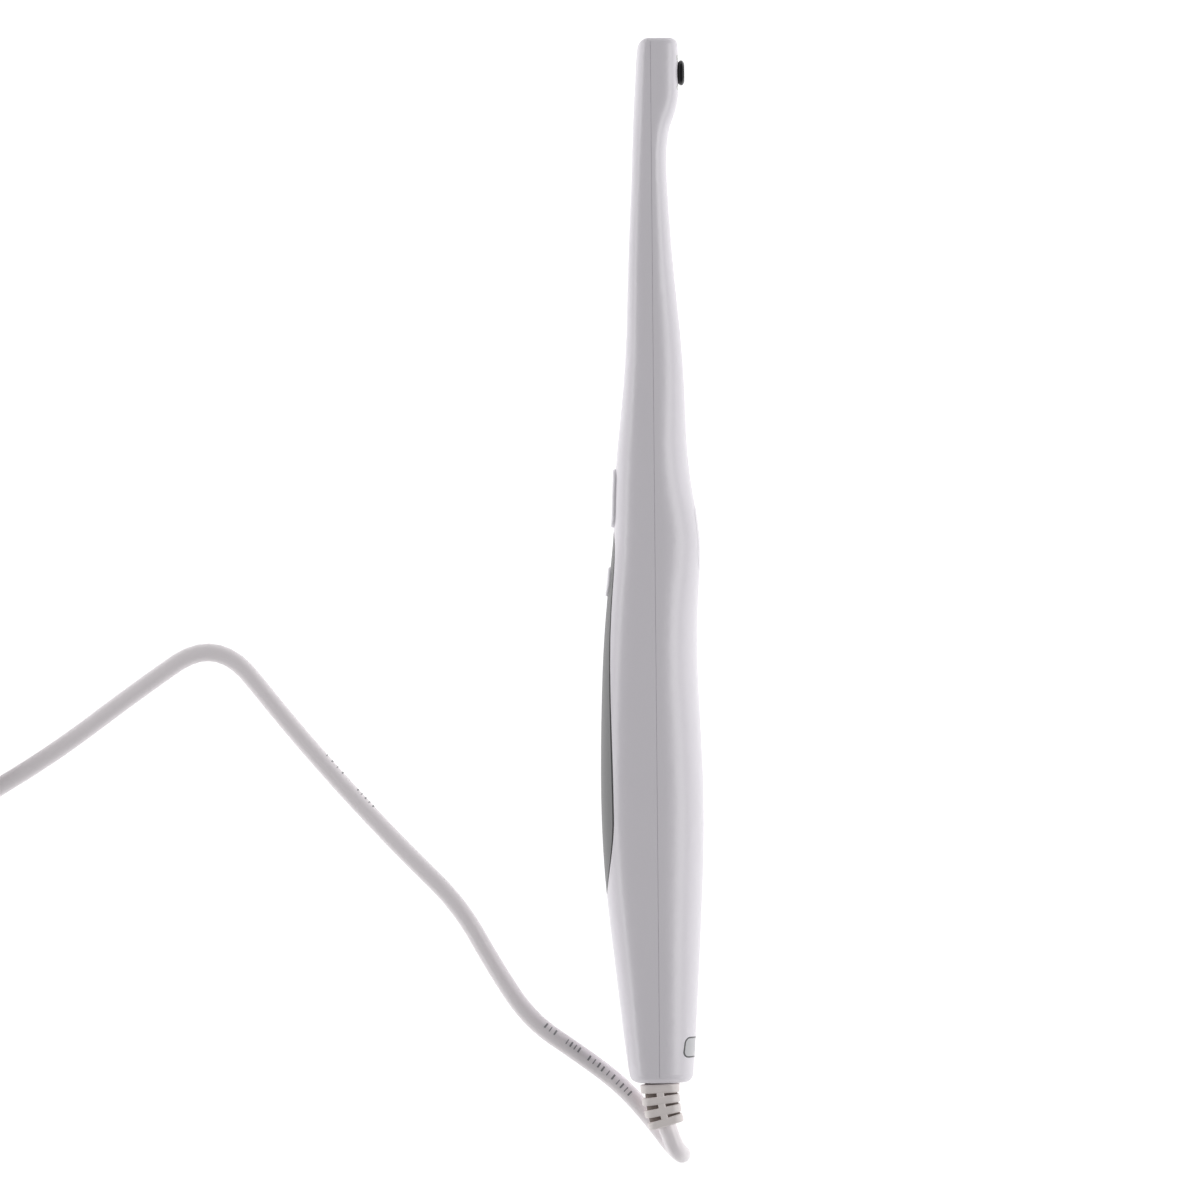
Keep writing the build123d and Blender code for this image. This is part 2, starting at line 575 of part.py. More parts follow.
# ---------------------------------------------------------------- main board and what is on it
board_half = HANDLE_HALF_WIDTH - SHELL_WALL - BOARD_CLEARANCE
nose_half = station_value(BOARD_TOP_Y, HALF_WIDTH) - SHELL_WALL - BOARD_CLEARANCE / 2
board_outline = Polyline(
    (BOARD_TOP_Y, -nose_half), (BOARD_TOP_Y, nose_half), (BOARD_STEP_Y, nose_half),
    (BOARD_STEP_Y, board_half), (BOARD_BOTTOM_Y, board_half), (BOARD_BOTTOM_Y, -board_half),
    (BOARD_STEP_Y, -board_half), (BOARD_STEP_Y, -nose_half), close=True)
board_plane = Plane(origin=(BOARD_REAR_X, 0, AXIS_Z), x_dir=(0, 1, 0), z_dir=(1, 0, 0))
main_board = extrude(board_plane * make_face(board_outline), amount=BOARD_THICKNESS)
for y in CASE_SCREW_YS:
    main_board = main_board - disc(-1, 1, y, 0, SCREW_RADIUS + SCREW_CLEARANCE)
parts["main_board"] = main_board


def on_board(side, z, y, length, width, height):
    """A component on one face of the main board."""
    face_x = BOARD_THICKNESS / 2
    if side > 0:
        return block(face_x, face_x + height, y, z, length, width)
    return block(-face_x - height, -face_x, y, z, length, width)


parts["video_processor"] = on_board(1, 0, *VIDEO_PROCESSOR)
parts["memory_chip"] = on_board(1, 0, *MEMORY_CHIP)
parts["voltage_regulator"] = on_board(1, 0, *VOLTAGE_REGULATOR)
parts["clock_crystal"] = on_board(1, 0, *CLOCK_CRYSTAL)
flex_socket = on_board(
    1, 0, FLEX_SOCKET_Y, FLEX_SOCKET_LENGTH, FLEX_SOCKET_WIDTH, FLEX_SOCKET_HEIGHT)
capacitors = []
for y in CAPACITOR_YS:
    for z in (-CAPACITOR_SPREAD, CAPACITOR_SPREAD):
        capacitors.append(on_board(-1, z, y, *CAPACITOR_SIZE))
parts["capacitors"] = Compound(children=capacitors)

# flat flex from the sensor board down the neck to its socket
flex_start_x = SENSOR_BOARD_BACK - FLEX_THICKNESS
flex_end_x = BOARD_THICKNESS / 2 + FLEX_SOCKET_HEIGHT / 2
flex_start_y = sensor_board_y - SENSOR_BOARD_LENGTH / 2 + FLEX_OVERLAP
flex_line = [
    (flex_start_x, flex_start_y),
    (flex_start_x, flex_start_y - FLEX_STRAIGHT),
    (flex_end_x - FLEX_RISE_SHORT, flex_start_y - FLEX_RISE_END),
    (flex_end_x, BOARD_TOP_Y + FLEX_LEAD_IN),
    (flex_end_x, FLEX_SOCKET_Y),
]
flex_edge = [(PARTING_X + x, y) for x, y in flex_line]
flex_back = [(x + FLEX_THICKNESS, y) for x, y in reversed(flex_edge)]
flex_plane = Plane(origin=(0, 0, AXIS_Z - FLEX_WIDTH / 2))
flex_face = make_face(Polyline(*flex_edge, *flex_back, close=True))
parts["sensor_flex"] = extrude(flex_plane * flex_face, amount=FLEX_WIDTH)
parts["flex_socket"] = flex_socket - parts["sensor_flex"]

parts["case_screws"] = Compound(children=[screw(y) for y in CASE_SCREW_YS])

# ---------------------------------------------------------------- strain relief and jacket
bend = math.radians(RELIEF_BEND)
bend_radius = RELIEF_LENGTH / bend


def relief_point(distance):
    """Place and heading of the relief's curved axis, a distance from the tail face."""
    angle = distance / bend_radius
    x = RELIEF_X + bend_radius * (1 - math.cos(angle))
    y = TAIL_Y - bend_radius * math.sin(angle)
    return (x, y, AXIS_Z), (math.sin(angle), -math.cos(angle), 0)


def relief_plane(distance):
    """Drawing plane across the relief's axis, with its x towards the lens side."""
    origin, heading = relief_point(distance)
    return Plane(origin=origin, x_dir=(-heading[1], heading[0], 0), z_dir=heading)


def relief_section(distance):
    """Rounded square section of the relief, smaller towards its mouth."""
    share = distance / RELIEF_LENGTH
    width = RELIEF_COLLAR_WIDTH + share * (RELIEF_END_WIDTH - RELIEF_COLLAR_WIDTH)
    return relief_plane(distance) * RectangleRounded(width, width, RELIEF_CORNER)


sleeve = loft([relief_section(RELIEF_LENGTH * share) for share in (0, 0.25, 0.5, 0.75, 1)])
mouth, mouth_heading = relief_point(RELIEF_LENGTH)
slot_reach = RELIEF_COLLAR_WIDTH
for place in RELIEF_SLOT_PLACES:
    core = relief_plane(place) * Cylinder(RELIEF_CORE_RADIUS, 4)
    for sign, height in ((-1, RELIEF_SLOT_OUTER), (1, RELIEF_SLOT_INNER)):
        slot_middle = Pos(sign * (RELIEF_WEB + slot_reach / 2), 0, 0)
        slot = relief_plane(place) * slot_middle * Box(slot_reach, 2 * slot_reach, height)
        sleeve = sleeve - (slot - core)
tail_plane = Plane(origin=(RELIEF_X, TAIL_Y, AXIS_Z), z_dir=(0, 1, 0))
neck = extrude(tail_plane * Circle(RELIEF_NECK_RADIUS), amount=SHELL_WALL)
flange_plane = Plane(origin=(RELIEF_X, TAIL_Y + SHELL_WALL, AXIS_Z), z_dir=(0, 1, 0))
relief_flange = extrude(flange_plane * Circle(RELIEF_FLANGE_RADIUS), amount=RELIEF_FLANGE_THICKNESS)
jacket_start = (RELIEF_X, TAIL_Y + JACKET_INSIDE, AXIS_Z)
jacket_line = Line(jacket_start, (RELIEF_X, TAIL_Y, AXIS_Z))
jacket_arc = JernArc((RELIEF_X, TAIL_Y, AXIS_Z), (0, -1, 0), bend_radius, RELIEF_BEND)
jacket_path = Wire([jacket_line, *jacket_arc.edges()])
jacket_plane = Plane(origin=jacket_start, z_dir=(0, -1, 0))
jacket = sweep(jacket_plane * Circle(CABLE_RADIUS), path=jacket_path)
parts["cable_inner_end"] = jacket
parts["strain_relief"] = one((sleeve + neck + relief_flange) - jacket)
along_wand = Pos(RELIEF_X, TAIL_Y, AXIS_Z) * Rot(90, 0, 0)
tail_hole = along_wand * Cylinder(RELIEF_NECK_RADIUS + RELIEF_FIT, 2 * SHELL_WALL + 1)
front_shell = front_shell - tail_hole
rear_shell = rear_shell - tail_hole

clamp_inside = JACKET_INSIDE - CLAMP_LENGTH / 2 - CLAMP_INSET
clamp = Pos(0, clamp_inside, 0) * along_wand * Cylinder(CABLE_RADIUS + CLAMP_WALL, CLAMP_LENGTH)
parts["cable_clamp"] = clamp - jacket

parts["cable_socket"] = on_board(-1, 0, SOCKET_Y, SOCKET_LENGTH, SOCKET_WIDTH, SOCKET_HEIGHT)
plug_y = SOCKET_Y - SOCKET_LENGTH / 2 - SOCKET_PLUG_LENGTH / 2
parts["cable_socket_plug"] = on_board(
    -1, 0, plug_y, SOCKET_PLUG_LENGTH, SOCKET_PLUG_WIDTH, SOCKET_PLUG_HEIGHT)
wire_x = PARTING_X - BOARD_THICKNESS / 2 - SOCKET_HEIGHT / 2
wire_start_y = plug_y - SOCKET_PLUG_LENGTH / 2
wire_end_y = TAIL_Y + JACKET_INSIDE
for index, colour in enumerate(("red", "white", "green", "black")):
    start_z = AXIS_Z + (index - 1.5) * WIRE_SPACING
    end_z = AXIS_Z + math.copysign(WIRE_BUNDLE, index - 1.5)
    end_x = RELIEF_X + math.copysign(WIRE_BUNDLE, index % 2 - 0.5)
    wire_points = [
        (wire_x, wire_start_y, start_z),
        (wire_x, wire_start_y - WIRE_STRAIGHT_AT_PLUG, start_z),
        (end_x, wire_end_y + WIRE_STRAIGHT_AT_JACKET, end_z),
        (end_x, wire_end_y, end_z),
    ]
    parts[colour + "_wire"] = tube(wire_points, [WIRE_BEND, WIRE_BEND], WIRE_RADIUS)[0]

# ---------------------------------------------------------------- badge on the lens side near the tail
badge_outline = RectangleRounded(BADGE_LENGTH, BADGE_WIDTH, BADGE_CORNER)
badge_column = extrude(side_plane(BADGE_Y, 1) * badge_outline, amount=REACH)
badge_bed = body(BADGE_THICKNESS)
parts["badge"] = one((badge_column & outer) - badge_bed)
front_shell = front_shell - (badge_column - badge_bed)

parts["front_shell"] = one(front_shell)
parts["rear_shell"] = one(rear_shell)

# ---------------------------------------------------------------- cord
# The route's points, as steps from the relief's mouth along X and Y, with their height.
# The first run keeps the relief's heading, so the jacket goes on straight through its mouth.
ROUTE = [
    (0.0, 0.0, AXIS_Z),
    (1.42, -4.37, AXIS_Z),
    (3.40, -6.25, (AXIS_Z + CABLE_RADIUS) / 2),
    (1.00, -4.35, CABLE_RADIUS),
    (-2.15, 0.10, CABLE_RADIUS),
    (-8.55, 7.60, CABLE_RADIUS),
    (-16.85, 13.85, CABLE_RADIUS),
    (-26.65, 20.55, CABLE_RADIUS),
    (-33.45, 30.95, CABLE_RADIUS),
    (-40.35, 43.45, CABLE_RADIUS),
    (-50.25, 53.25, CABLE_RADIUS),
    (-61.85, 65.65, CABLE_RADIUS),
    (-74.15, 79.95, CABLE_RADIUS),
    (-87.55, 97.05, CABLE_RADIUS),
    (-104.35, 85.55, CABLE_RADIUS),
    (-119.35, 74.35, CABLE_RADIUS),
    (-136.85, 63.85, CABLE_RADIUS),
    (-154.35, 54.15, CABLE_RADIUS),
]
route = [(mouth[0] + dx, mouth[1] + dy, z) for dx, dy, z in ROUTE]
radii = route_radii(route)
parts["cable"], cable_length = tube(route, radii, CABLE_RADIUS)
print("cable arc radii, mm:", [round(radius, 1) for radius in radii])
print("cable length, mm:", round(cable_length, 1))
expected = math.pi * CABLE_RADIUS ** 2 * cable_length
print("cable volume over section x length:", round(parts["cable"].volume / expected, 4))

# the coil winds on from the route's last run, with its centre to the right of it
last = Vector(*route[-1])
heading = (last - Vector(*route[-2])).normalized()
outer_turn = COIL_MEAN_RADIUS + (COIL_COLUMNS - 1) / 2 * CABLE_DIAMETER
coil_centre = last + Vector(heading.Y, -heading.X, 0) * outer_turn
coil_inner = outer_turn - (COIL_COLUMNS - 0.5) * CABLE_DIAMETER
coil_outer = outer_turn + CABLE_RADIUS
coil_height = COIL_LAYERS * CABLE_DIAMETER
coil_width = coil_outer - coil_inner
ring_profile = Pos((coil_inner + coil_outer) / 2, coil_height / 2) * RectangleRounded(
    coil_width, coil_height, CABLE_RADIUS * 0.95)
coil_profile = Plane.XZ * ring_profile
coil = Pos(coil_centre.X, coil_centre.Y, 0) * revolve(coil_profile, axis=Axis.Z)


def strap_prism(margin, length):
    """A block round the coil's section where the strap is, standing off by margin."""
    width = coil_width + 2 * margin
    height = coil_height + 2 * margin
    middle_z = STRAP_THICKNESS + coil_height / 2
    box = Box(width, length, height)
    box = fillet(box.edges().filter_by(Axis.Y), CABLE_RADIUS * 0.6 + margin)
    place = Pos(coil_centre.X, coil_centre.Y, middle_z) * Rot(0, 0, STRAP_ANGLE)
    return place * Pos((coil_inner + coil_outer) / 2, 0, 0) * box


strap = strap_prism(STRAP_THICKNESS, STRAP_WIDTH) - strap_prism(STRAP_FIT, 2 * STRAP_WIDTH)
parts["coil_strap"] = strap
parts["cable_coil"] = one(coil - strap)
print("coil centre, mm:", round(coil_centre.X, 2), round(coil_centre.Y, 2))

# from the coil's upper outer turn to the plug
exit_angle = math.radians(COIL_EXIT_ANGLE)
entry_angle = math.atan2(last.Y - coil_centre.Y, last.X - coil_centre.X)
last_turn = ((entry_angle - exit_angle) / (2 * math.pi)) % 1
turns = COIL_LAYERS * COIL_COLUMNS - 1 + last_turn
coiled_length = 2 * math.pi * (
    COIL_LAYERS * COIL_COLUMNS * COIL_MEAN_RADIUS - (1 - last_turn) * outer_turn)
print("coil turns:", round(turns, 2), "length, mm:", round(coiled_length, 1))
exit_x = coil_centre.X + outer_turn * math.cos(exit_angle)
exit_y = coil_centre.Y + outer_turn * math.sin(exit_angle)
END_ROUTE = [
    (0.0, 0.0, coil_height - CABLE_RADIUS),
    (4.5, 7.9, 4.4),
    (8.3, 16.7, 2.6),
    (10.7, 26.1, 2.5),
    (12.3, 35.1, PLUG_CENTRE_Z),
]
end_route = [(exit_x + dx, exit_y + dy, z) for dx, dy, z in END_ROUTE]
end_radii = route_radii(end_route)
parts["cable_end"], end_length = tube(end_route, end_radii, CABLE_RADIUS)
print("end arc radii, mm:", [round(radius, 1) for radius in end_radii])
print("end length, mm:", round(end_length, 1))
print("whole cord, mm:", round(cable_length + coiled_length + end_length, 1))

# ---------------------------------------------------------------- plug
plug_start = Vector(*end_route[-1])
plug_run = plug_start - Vector(*end_route[-2])
plug_heading = Vector(plug_run.X, plug_run.Y, 0).normalized()
print("plug starts at, mm:", plug_start, "heading:", plug_heading)
plug_plane = Plane(
    origin=plug_start, x_dir=(-plug_heading.Y, plug_heading.X, 0), z_dir=plug_heading)
boot = loft([
    Circle(PLUG_BOOT_RADIUS),
    Pos(0, 0, PLUG_BOOT_LENGTH) * Circle(PLUG_BOOT_RADIUS + PLUG_BOOT_FLARE),
])
grip_block = Pos(0, 0, PLUG_BOOT_LENGTH + PLUG_BODY_LENGTH / 2) * Box(
    PLUG_BODY_WIDTH, 2 * PLUG_CENTRE_Z, PLUG_BODY_LENGTH)
grip_block = fillet(grip_block.edges().filter_by(Axis.Z), PLUG_BODY_CORNER)
shell_start = PLUG_BOOT_LENGTH + PLUG_BODY_LENGTH - PLUG_SHELL_EMBED
shell_total = PLUG_SHELL_LENGTH + PLUG_SHELL_EMBED
shell_middle = Pos(0, 0, shell_start + shell_total / 2)
shell_solid = shell_middle * Box(PLUG_SHELL_WIDTH, PLUG_SHELL_HEIGHT, shell_total)
shell_hollow = shell_middle * Box(
    PLUG_SHELL_WIDTH - 2 * PLUG_SHELL_WALL, PLUG_SHELL_HEIGHT - 2 * PLUG_SHELL_WALL, shell_total)
latch_z = shell_start + PLUG_SHELL_EMBED + PLUG_LATCH_PLACE
plug_shell = shell_solid - shell_hollow
for latch_x in (-PLUG_CONTACT_PITCH, PLUG_CONTACT_PITCH):
    plug_shell = plug_shell - Pos(latch_x, 0, latch_z) * Box(
        PLUG_LATCH_SIZE, 2 * PLUG_SHELL_HEIGHT, PLUG_LATCH_SIZE)
parts["usb_plug_body"] = plug_plane * ((boot + grip_block) - shell_solid)
parts["usb_plug_shell"] = plug_plane * plug_shell
tongue_y = PLUG_SHELL_HEIGHT / 2 - PLUG_SHELL_WALL - PLUG_TONGUE_HEIGHT / 2
tongue_width = PLUG_SHELL_WIDTH - 2 * PLUG_SHELL_WALL
tongue_length = shell_total - PLUG_TONGUE_INSET
tongue = Pos(0, tongue_y, shell_start + tongue_length / 2) * Box(
    tongue_width, PLUG_TONGUE_HEIGHT, tongue_length)
parts["usb_plug_tongue"] = plug_plane * tongue
contact_y = tongue_y - PLUG_TONGUE_HEIGHT / 2 - PLUG_CONTACT_THICKNESS / 2
contact_z = shell_start + tongue_length - PLUG_CONTACT_INSET - PLUG_CONTACT_LENGTH / 2
contacts = []
for index in range(4):
    contact_x = (index - 1.5) * PLUG_CONTACT_PITCH
    contacts.append(plug_plane * Pos(contact_x, contact_y, contact_z) * Box(
        PLUG_CONTACT_WIDTH, PLUG_CONTACT_THICKNESS, PLUG_CONTACT_LENGTH))
parts["usb_plug_contacts"] = Compound(children=contacts)

# ---------------------------------------------------------------- files
os.makedirs("parts", exist_ok=True)
for name, shape in parts.items():
    export_step(shape, f"parts/{name}.step")
print(len(parts), "nodes written")
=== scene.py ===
# %% [markdown]
# # A corded dental camera, lying on a white table
# The object is a slim white wand with a small camera in its tip. It lies on its side, and its thin
# cable runs away to the left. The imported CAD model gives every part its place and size, and this
# script gives each part its finish. It also makes anew the pieces whose edges are too plain in the
# CAD model: the buttons, the lens ring, the strain relief, the cable, its strap and its plug.

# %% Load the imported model
import bpy
import bmesh
import json
import math
from mathutils import Matrix, Vector
from mathutils.bvhtree import BVHTree


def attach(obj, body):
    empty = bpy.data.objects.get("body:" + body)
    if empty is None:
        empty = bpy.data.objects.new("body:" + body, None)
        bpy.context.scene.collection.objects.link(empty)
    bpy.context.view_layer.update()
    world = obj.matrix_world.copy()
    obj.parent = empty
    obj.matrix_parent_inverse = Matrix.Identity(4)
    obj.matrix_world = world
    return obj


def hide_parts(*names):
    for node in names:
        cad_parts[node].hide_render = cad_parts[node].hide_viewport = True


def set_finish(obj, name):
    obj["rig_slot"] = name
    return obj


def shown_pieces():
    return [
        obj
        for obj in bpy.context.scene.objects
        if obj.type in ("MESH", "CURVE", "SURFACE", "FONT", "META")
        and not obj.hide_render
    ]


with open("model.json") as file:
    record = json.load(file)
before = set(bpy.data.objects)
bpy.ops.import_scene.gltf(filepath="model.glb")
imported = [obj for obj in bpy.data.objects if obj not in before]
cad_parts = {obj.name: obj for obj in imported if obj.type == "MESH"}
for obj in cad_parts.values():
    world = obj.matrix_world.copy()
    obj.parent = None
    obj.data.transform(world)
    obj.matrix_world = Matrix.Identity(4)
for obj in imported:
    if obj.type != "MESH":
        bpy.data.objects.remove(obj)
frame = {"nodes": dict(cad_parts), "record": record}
for name in ("Cube", "Light", "Camera"):
    if name in bpy.data.objects:
        bpy.data.objects.remove(bpy.data.objects[name])
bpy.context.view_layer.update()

# %% [markdown]
# ## Sizes
# The frame has +Y towards the tip, +X on the lens side and +Z up. A maker thinks in millimetres,
# so each piece is drawn in millimetres too. That also keeps small bevels exact, because mesh
# tools round off lengths of a hundredth of a millimetre when one unit is a metre. Each finished
# piece is scaled by MM into the frame's metres.

# %% Sizes shared with the CAD model
MM = 0.001
PARTING_X = 0.92
AXIS_Z = 9.546
TIP_Y = 102.4
TAIL_Y = -102.4
CABLE_RADIUS = 1.8

# %% [markdown]
# ## The camera
# The wand is seen from straight above. A very long lens from far away keeps the high parts and
# the low parts at one scale, as a catalogue view does. The view is turned by half a degree,
# because the wand doesn't lie quite square to it. Blender's camera looks along its own -Z, so one that
# isn't tilted already looks straight down.

# %% Camera
VIEW_WIDTH = 235.4
VIEW_CENTRE = (-9.88, -7.65)
VIEW_DISTANCE = 2500.0
VIEW_TURN = -0.009
SENSOR_WIDTH = 36

camera_data = bpy.data.cameras.new("product_camera")
camera_data.sensor_width = SENSOR_WIDTH
camera_data.lens = camera_data.sensor_width * VIEW_DISTANCE / VIEW_WIDTH
camera_data.clip_start = 0.05
camera_data.clip_end = 20
camera = bpy.data.objects.new("product_camera", camera_data)
camera.location = Vector((*VIEW_CENTRE, AXIS_Z + VIEW_DISTANCE)) * MM
camera.rotation_euler = (0, 0, VIEW_TURN)
bpy.context.scene.collection.objects.link(camera)
bpy.context.scene.camera = camera
print("lens, mm:", round(camera_data.lens, 1))

# %% [markdown]
# ## Helpers for new pieces
# A new piece is shaped as a bmesh, with its place in its mesh and its object at the origin.
# `add_piece` turns the bmesh into an object, gives it smooth shading that breaks at sharp edges,
# hangs it on the body it moves with, notes its finish and hides the CAD parts it stands for.

# %% Helper: from bmesh to a finished object
WELD_DISTANCE = 0.001


def add_piece(name, bm, slot, body="wand", stands_for=(), sharp=40):
    """A finished object from a bmesh in mm. Edges steeper than sharp degrees stay crisp."""
    bmesh.ops.remove_doubles(bm, verts=bm.verts, dist=WELD_DISTANCE)
    bmesh.ops.recalc_face_normals(bm, faces=bm.faces)
    bmesh.ops.scale(bm, vec=(MM, MM, MM), verts=bm.verts)
    mesh = bpy.data.meshes.new(name)
    bm.to_mesh(mesh)
    bm.free()
    mesh.shade_smooth()
    mesh.set_sharp_from_angle(angle=math.radians(sharp))
    piece = bpy.data.objects.new(name, mesh)
    bpy.context.scene.collection.objects.link(piece)
    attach(piece, body)
    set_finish(piece, slot)
    if stands_for:
        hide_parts(*stands_for)
    print(name, "faces:", len(mesh.polygons))
    return piece


# %% Helper: a rounded rectangle as one face
def rounded_face(bm, width, height, corner, segments=6):
    """A face across the local z axis, width along x and height along y."""
    old_faces = set(bm.faces)
    made = bmesh.ops.create_grid(bm, x_segments=1, y_segments=1, size=0.5)
    verts = made["verts"]
    bmesh.ops.scale(bm, vec=(width, height, 1), verts=verts)
    bmesh.ops.bevel(bm, geom=verts, offset=corner, offset_type="OFFSET", segments=segments,
                    profile=0.5, affect="VERTICES", material=-1)
    new_faces = [face for face in bm.faces if face not in old_faces]
    return max(new_faces, key=lambda face: len(face.verts))


# %% Helper: a rounded block made of one face, extruded in steps
def rounded_block(bm, width, height, corner, start, end, edge, steps=1):
    """A block along local z from start to end, with its two end rims rounded by edge."""
    old_faces = set(bm.faces)
    face = rounded_face(bm, width, height, corner)
    bmesh.ops.translate(bm, vec=(0, 0, start), verts=face.verts)
    for step in range(steps):
        made = bmesh.ops.extrude_face_region(bm, geom=[face], use_keep_orig=(step == 0))
        face = [item for item in made["geom"] if isinstance(item, bmesh.types.BMFace)][0]
        bmesh.ops.translate(bm, vec=(0, 0, (end - start) / steps), verts=face.verts)
    block_faces = [item for item in bm.faces if item not in old_faces]
    bmesh.ops.recalc_face_normals(bm, faces=block_faces)
    ends = [item for item in block_faces if len(item.verts) > 8]
    if edge > 0:
        rims = list({rim for item in ends for rim in item.edges})
        bmesh.ops.bevel(bm, geom=rims, offset=edge, offset_type="OFFSET", segments=3,
                        profile=0.5, affect="EDGES", material=-1)
    return [item for item in bm.faces if item not in old_faces]


# %% Helper: a turned piece from the outline of half its section
def turned(bm, outline, segments=64):
    """Spins (distance along z, radius) points round the local z axis into a closed ring."""
    verts = [bm.verts.new((radius, 0, along)) for along, radius in outline]
    edges = [bm.edges.new(pair) for pair in zip(verts, verts[1:] + verts[:1])]
    bmesh.ops.spin(bm, geom=verts + edges, cent=(0, 0, 0), axis=(0, 0, 1), dvec=(0, 0, 0),
                   angle=2 * math.pi, steps=segments, use_merge=True)


# %% [markdown]
# ## The cable's route
# A USB cable of 3.6 mm is soft, so it leaves the strain relief, drops to the table in a tight turn
# and then lies in lazy curves. One NURBS line with few points gives such curves, because it never
# kinks between its points. The points are the same as in the CAD model: steps from the mouth of
# the strain relief, with the height of the cable's middle.

# %% Strain relief's axis, where the cable starts
RELIEF_X = 1.0
RELIEF_LENGTH = 8.6
RELIEF_BEND = math.radians(18)
BEND_RADIUS = RELIEF_LENGTH / RELIEF_BEND


def on_relief(side, up, distance):
    """A point beside the relief's bent axis, a distance from the housing's tail."""
    angle = distance / BEND_RADIUS
    reach = BEND_RADIUS - side
    return Vector((RELIEF_X + BEND_RADIUS - reach * math.cos(angle),
                   TAIL_Y - reach * math.sin(angle), AXIS_Z + up))


mouth = on_relief(0, 0, RELIEF_LENGTH)
print("cable starts at, mm:", [round(v, 2) for v in mouth])

# %% Route on the table
FLAT = CABLE_RADIUS
ROUTE = [
    (0.0, 0.0, AXIS_Z),
    (1.42, -4.37, AXIS_Z),
    (3.40, -6.25, (AXIS_Z + FLAT) / 2),
    (1.00, -4.35, FLAT),
    (-2.15, 0.10, FLAT),
    (-8.55, 7.60, FLAT),
    (-16.85, 13.85, FLAT),
    (-26.65, 20.55, FLAT),
    (-33.45, 30.95, FLAT),
    (-40.35, 43.45, FLAT),
    (-50.25, 53.25, FLAT),
    (-61.85, 65.65, FLAT),
    (-74.15, 79.95, FLAT),
    (-87.55, 97.05, FLAT),
    (-104.35, 85.55, FLAT),
    (-119.35, 74.35, FLAT),
    (-136.85, 63.85, FLAT),
    (-154.35, 54.15, FLAT),
]
route = [Vector((mouth.x + x, mouth.y + y, z)) for x, y, z in ROUTE]
print("route points:", len(route))

# %% [markdown]
# ## The coil
# The rest of the cable is put away in a round coil of two layers. The first layer winds inwards
# on the table, the cable climbs over at the innermost turn, and the second layer winds outwards on
# top. The turns lie one cable diameter apart, and rise a little where the strap passes under them.

# %% Coil sizes and its centre
COLUMNS = 6
POINTS_PER_TURN = 24
PITCH = 2 * CABLE_RADIUS
MEAN_RADIUS = 21.6
OUTER_RADIUS = MEAN_RADIUS + (COLUMNS - 1) / 2 * PITCH
EXIT_ANGLE = math.radians(150)
STRAP_ANGLE = math.radians(250)
STRAP_THICKNESS = 0.7
STRAP_FLAT = math.radians(26)
STRAP_SLOPE = math.radians(30)

last_heading = (route[-1] - route[-2]).normalized()
to_the_right = Vector((last_heading.y, -last_heading.x, 0))
coil_centre = route[-1] + to_the_right * OUTER_RADIUS
entry_angle = math.atan2(route[-1].y - coil_centre.y, route[-1].x - coil_centre.x)
print("coil centre, mm:", [round(v, 2) for v in coil_centre])


# %% Coil points
def strap_lift(angle):
    """How far the turns are held up by the strap under them, at an angle round the coil."""
    away = abs((angle - STRAP_ANGLE + math.pi) % (2 * math.pi) - math.pi)
    share = min(max((STRAP_FLAT + STRAP_SLOPE - away) / STRAP_SLOPE, 0), 1)
    return STRAP_THICKNESS * share * share * (3 - 2 * share)


last_part = ((entry_angle - EXIT_ANGLE) / (2 * math.pi)) % 1
turns = 2 * COLUMNS - 1 + last_part
steps_round = round(turns * POINTS_PER_TURN)
# the curve runs inside its control points, so these lie a little further out
reach_out = 1 / math.cos(math.pi / POINTS_PER_TURN)
coil_points = []
for step in range(1, steps_round + 1):
    turn = step * turns / steps_round
    inward = min(turn, COLUMNS - 1)
    outward = max(turn - COLUMNS, 0)
    radius = (OUTER_RADIUS - PITCH * inward + PITCH * min(outward, COLUMNS - 1)) * reach_out
    climb = min(max(turn - (COLUMNS - 1), 0), 1)
    angle = entry_angle - turn * 2 * math.pi
    height = CABLE_RADIUS + PITCH * climb + strap_lift(angle)
    coil_points.append(Vector((coil_centre.x + radius * math.cos(angle),
                               coil_centre.y + radius * math.sin(angle), height)))
print("turns:", round(turns, 2), "coil points:", len(coil_points))

# %% From the coil to the plug
coil_exit = Vector((coil_centre.x + OUTER_RADIUS * math.cos(EXIT_ANGLE),
                    coil_centre.y + OUTER_RADIUS * math.sin(EXIT_ANGLE), 0))
END_STEPS = [(4.5, 7.9, 4.4), (8.3, 16.7, 2.6), (10.7, 26.1, 2.5), (12.3, 35.1, 4.0)]
end_points = [coil_exit + Vector(step) for step in END_STEPS]
plug_start = end_points[-1]
plug_run = plug_start - end_points[-2]
plug_heading = Vector((plug_run.x, plug_run.y, 0)).normalized()
print("plug starts at, mm:", [round(v, 2) for v in plug_start])

# %% The cable as one curve
control_points = route + coil_points + end_points
cable_data = bpy.data.curves.new("cable_jacket", "CURVE")
cable_data.dimensions = "3D"
cable_data.bevel_depth = CABLE_RADIUS * MM
cable_data.bevel_resolution = 5
cable_data.use_fill_caps = True
cable_data.resolution_u = 8
spline = cable_data.splines.new("NURBS")
spline.points.add(len(control_points) - 1)
for point, place in zip(spline.points, control_points):
    point.co = (*(place * MM), 1)
spline.order_u = 3
spline.use_endpoint_u = True
cable_jacket = bpy.data.objects.new("cable_jacket", cable_data)
bpy.context.scene.collection.objects.link(cable_jacket)
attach(cable_jacket, "wand")
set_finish(cable_jacket, "cable_white")
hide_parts("cable", "cable_coil", "cable_end")
polygon_length = sum((b - a).length for a, b in zip(control_points, control_points[1:]))
print("control points:", len(control_points), "through them, mm:", round(polygon_length, 1))

# %% [markdown]
# ## Printed marks on the cable
# A cable maker prints a line of small grey characters along the jacket. Plain short bars in
# groups stand for them here, because lettering would say something. Each bar is a small block that
# is wrapped onto the round jacket, from just inside it to a hair above its surface.

